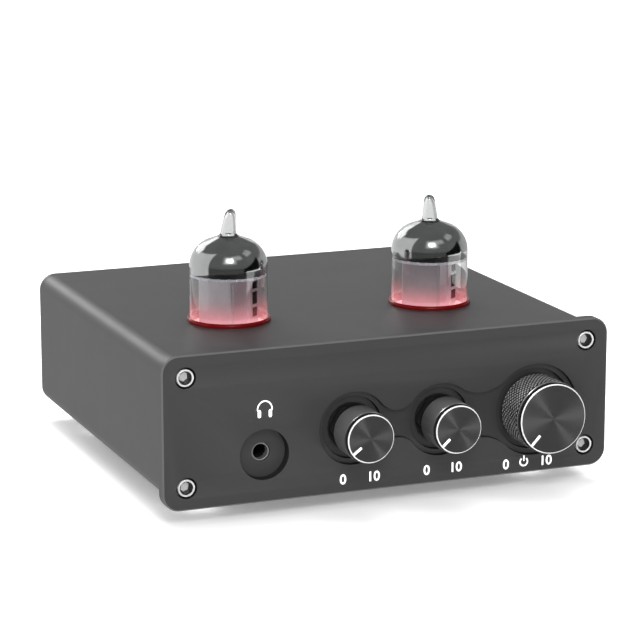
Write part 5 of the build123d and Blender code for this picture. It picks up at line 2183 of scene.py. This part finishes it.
@dataclass
class Studio:
    """Pale floor, soft lights and the camera."""

    camera_place: Point = (-238.40, -604.48, 181.63)
    yaw: float = 21.74
    pitch: float = 12.9
    lens: float = 152.25
    room: float = 0.22
    floor_size: float = 6000.0
    floor_colour: Colour = (0.93, 0.93, 0.93)
    floor_glow: float = 0.18
    lamp_colour: Colour = (1.0, 0.10, 0.14)
    lamp_power: float = 0.012
    lamp_depth: float = 3.5
    panels: tuple[StudioPanel, ...] = (
        StudioPanel(180.0, 85.0, -90.0, 0.0, 0.0, 8.0, 0.12),
        StudioPanel(-37.5, 57.5, -90.0, 26.6, -0.47, 7.0, 1.05),
        StudioPanel(62.0, 26.0, -90.0, 12.0, 0.0, 10.0, 0.6),
        StudioPanel(15.0, 19.0, -90.0, 18.0, 0.0, 6.0, 1.0),
        StudioPanel(-14.0, 18.0, 22.0, 34.0, 0.0, 6.0, 2.2),
        StudioPanel(120.0, 24.0, -17.0, -7.0, 0.0, 3.0, 3.0),
        StudioPanel(125.0, 26.0, -6.0, 11.0, -0.45, 4.0, 0.01),
        StudioPanel(168.0, 15.0, 43.0, 49.0, 0.0, 10.0, 0.75),
        StudioPanel(-165.0, 15.0, 30.0, 46.0, 0.0, 13.0, 0.8),
        StudioPanel(-165.0, 6.0, 36.0, 40.0, 0.0, 13.0, 4.0),
        StudioPanel(109.0, 15.0, 44.0, 53.0, 0.0, 7.0, 0.65),
    )
    boxes: tuple[SoftBox, ...] = (
        SoftBox("overhead", (100, 250, 780), (0, 0, 20), (600, 600), 7.8),
        SoftBox("left_side", (-900, -150, 130), (0, 0, 20), (500, 200), 3.4),
        SoftBox("edge", (-215, 860, 345), (0, 0, 30), (300, 150), 1.0, gleam=True),
        SoftBox("key", (-200, -730, 590), (0, -40, 30), (260, 260), 2.9, gleam=True),
        SoftBox("front_fill", (-150, -850, 60), (0, -50, 20), (700, 120), 5.2),
    )

    def build(self) -> None:
        """Set up the studio."""
        self.floor()
        self.world()
        self.lights()
        self.camera()

    def floor(self) -> None:
        """A wide pale floor."""
        draft = Draft()
        size = self.floor_size
        corners = ((-size, -size), (size, -size), (size, size), (-size, size))
        draft.face(draft.level_ring(corners, 0.0))
        look, g, shader = blank_look("studio_floor")
        grain = g.effect(EFFECTS.grain, {"Size": 0.002, "Mottle": 0.01})
        g.fill(shader, {
            "Base Color": g.tint(rgba(self.floor_colour), grain["Tone"]), "Roughness": 0.6,
            "Emission Color": rgba((1.0, 1.0, 1.0)), "Emission Strength": self.floor_glow,
        })
        ground = draft.finish("studio_floor", [look])
        ground.visible_glossy = False
        ground.visible_transmission = False

    def panel_group(self) -> bpy.types.NodeTree:
        """Node group for one bright or dark panel of the surroundings, placed by direction."""
        labels = (*(f.name for f in fields(StudioPanel)), "under")
        g, entry, leave = blank_group("Studio panel", dict.fromkeys(labels, 0.0), ("over",))
        px, py, pz = g.split(g.node("ShaderNodeTexCoord").outputs["Generated"])
        turn = g.sum("MULTIPLY", g.sum("ARCTAN2", px, py), 180 / math.pi)
        rise = g.sum("MULTIPLY", g.sum("ARCSINE", pz), 180 / math.pi)
        wrapped = g.node("ShaderNodeMath", operation="WRAP")
        for target, value in zip(
            wrapped.inputs, (g.sum("SUBTRACT", turn, entry["azimuth"]), 180.0, -180.0),
        ):
            g.feed(target, value)
        away = wrapped.outputs[0]
        top = g.sum("ADD", entry["top"], g.sum("MULTIPLY", entry["slope"], away))
        mask: object = 1.0
        for gap in (
            g.sum("SUBTRACT", entry["half_width"], g.sum("ABSOLUTE", away)),
            g.sum("SUBTRACT", top, rise), g.sum("SUBTRACT", rise, entry["bottom"]),
        ):
            edge = g.node("ShaderNodeMapRange", {
                "Value": gap, "From Min": g.sum("MULTIPLY", entry["softness"], -1.0),
                "From Max": 0.0,
            }, interpolation_type="SMOOTHSTEP")
            mask = g.sum("MULTIPLY", mask, edge.outputs[0])
        keep = g.sum("MULTIPLY", entry["under"], g.sum("SUBTRACT", 1.0, mask))
        g.fill(leave, {"over": g.sum("ADD", keep, g.sum("MULTIPLY", entry["strength"], mask))})
        return g.tree

    def world(self) -> None:
        """White surroundings, with panels where something glossy reflects them."""
        world = bpy.data.worlds.new("studio")
        world.use_nodes = True
        world.node_tree.nodes.clear()
        g = Graph(world.node_tree)
        panel = self.panel_group()
        level: object = self.room
        for spot in self.panels:
            level = g.effect(panel, {**asdict(spot), "under": level})["over"]
        path = g.node("ShaderNodeLightPath").outputs
        plain = g.sum("ADD", path["Is Diffuse Ray"], path["Is Camera Ray"])
        other = g.sum("MULTIPLY", g.sum("SUBTRACT", 1.0, plain), level)
        shade = g.node("ShaderNodeBackground", {"Strength": g.sum("ADD", plain, other)})
        g.node("ShaderNodeOutputWorld", {"Surface": shade.outputs[0]})
        bpy.context.scene.world = world

    def lights(self) -> None:
        """Large soft boxes, and the red glow under each tube."""
        for box in self.boxes:
            box.hang()
        for side, x in zip(("left", "right"), LAYOUT.tube_x):
            lamp = bpy.data.lights.new(f"{side}_glow", "POINT")
            lamp.color = self.lamp_colour
            lamp.energy = self.lamp_power
            lamp.shadow_soft_size = 0.002
            spot = Vector((x, LAYOUT.tube_y, LAYOUT.case_top - self.lamp_depth))
            linked(f"{side}_glow", lamp).location = spot * MM

    def camera(self) -> None:
        """Put the camera where it looks over the left front corner."""
        data = bpy.data.cameras.new("camera")
        data.lens = self.lens
        data.sensor_width = 36.0
        data.clip_start = 0.01
        holder = linked("camera", data)
        holder.location = Vector(self.camera_place) * MM
        holder.rotation_euler = (math.radians(90 - self.pitch), 0.0, math.radians(-self.yaw))
        bpy.context.scene.camera = holder
        bpy.context.scene.view_settings.view_transform = "Standard"


def main() -> None:
    """Build and dress the whole object."""
    logging.basicConfig(level=logging.INFO, format="%(message)s")
    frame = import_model()
    looks = Looks()
    Enclosure(looks).build()
    tone_knob = {
        "radius": 5.96, "front": -10.2, "rear": -2.1, "cavity": 4.9, "grip": Grip.SMOOTH,
        "pointer_start": 3.0,
    }
    for knob in (
        Knob(looks, "treble", x=-9.25, pointer_angle=217, **tone_knob),
        Knob(looks, "bass", x=12.5, pointer_angle=222, **tone_knob),
        Knob(
            looks, "volume", x=36.8, radius=8.6, front=-9.7, rear=0.8, cavity=7.4,
            grip=Grip.KNURLED, pointer_start=5.0, pointer_angle=227,
        ),
    ):
        knob.build()
    HeadphoneSocket(looks).build()
    left, right = LAYOUT.tube_x
    for tube in (
        Tube(looks, "left_tube", left, cage_turn=34, lean=0.75, window=(2.95, 5.0)),
        Tube(looks, "right_tube", right, cage_turn=41, lean=-0.2, window=(2.4, 5.25)),
    ):
        tube.build()
    RearSockets(looks).build()
    dress_nodes(frame, looks)
    Studio().build()


if __name__ == "__main__":
    main()
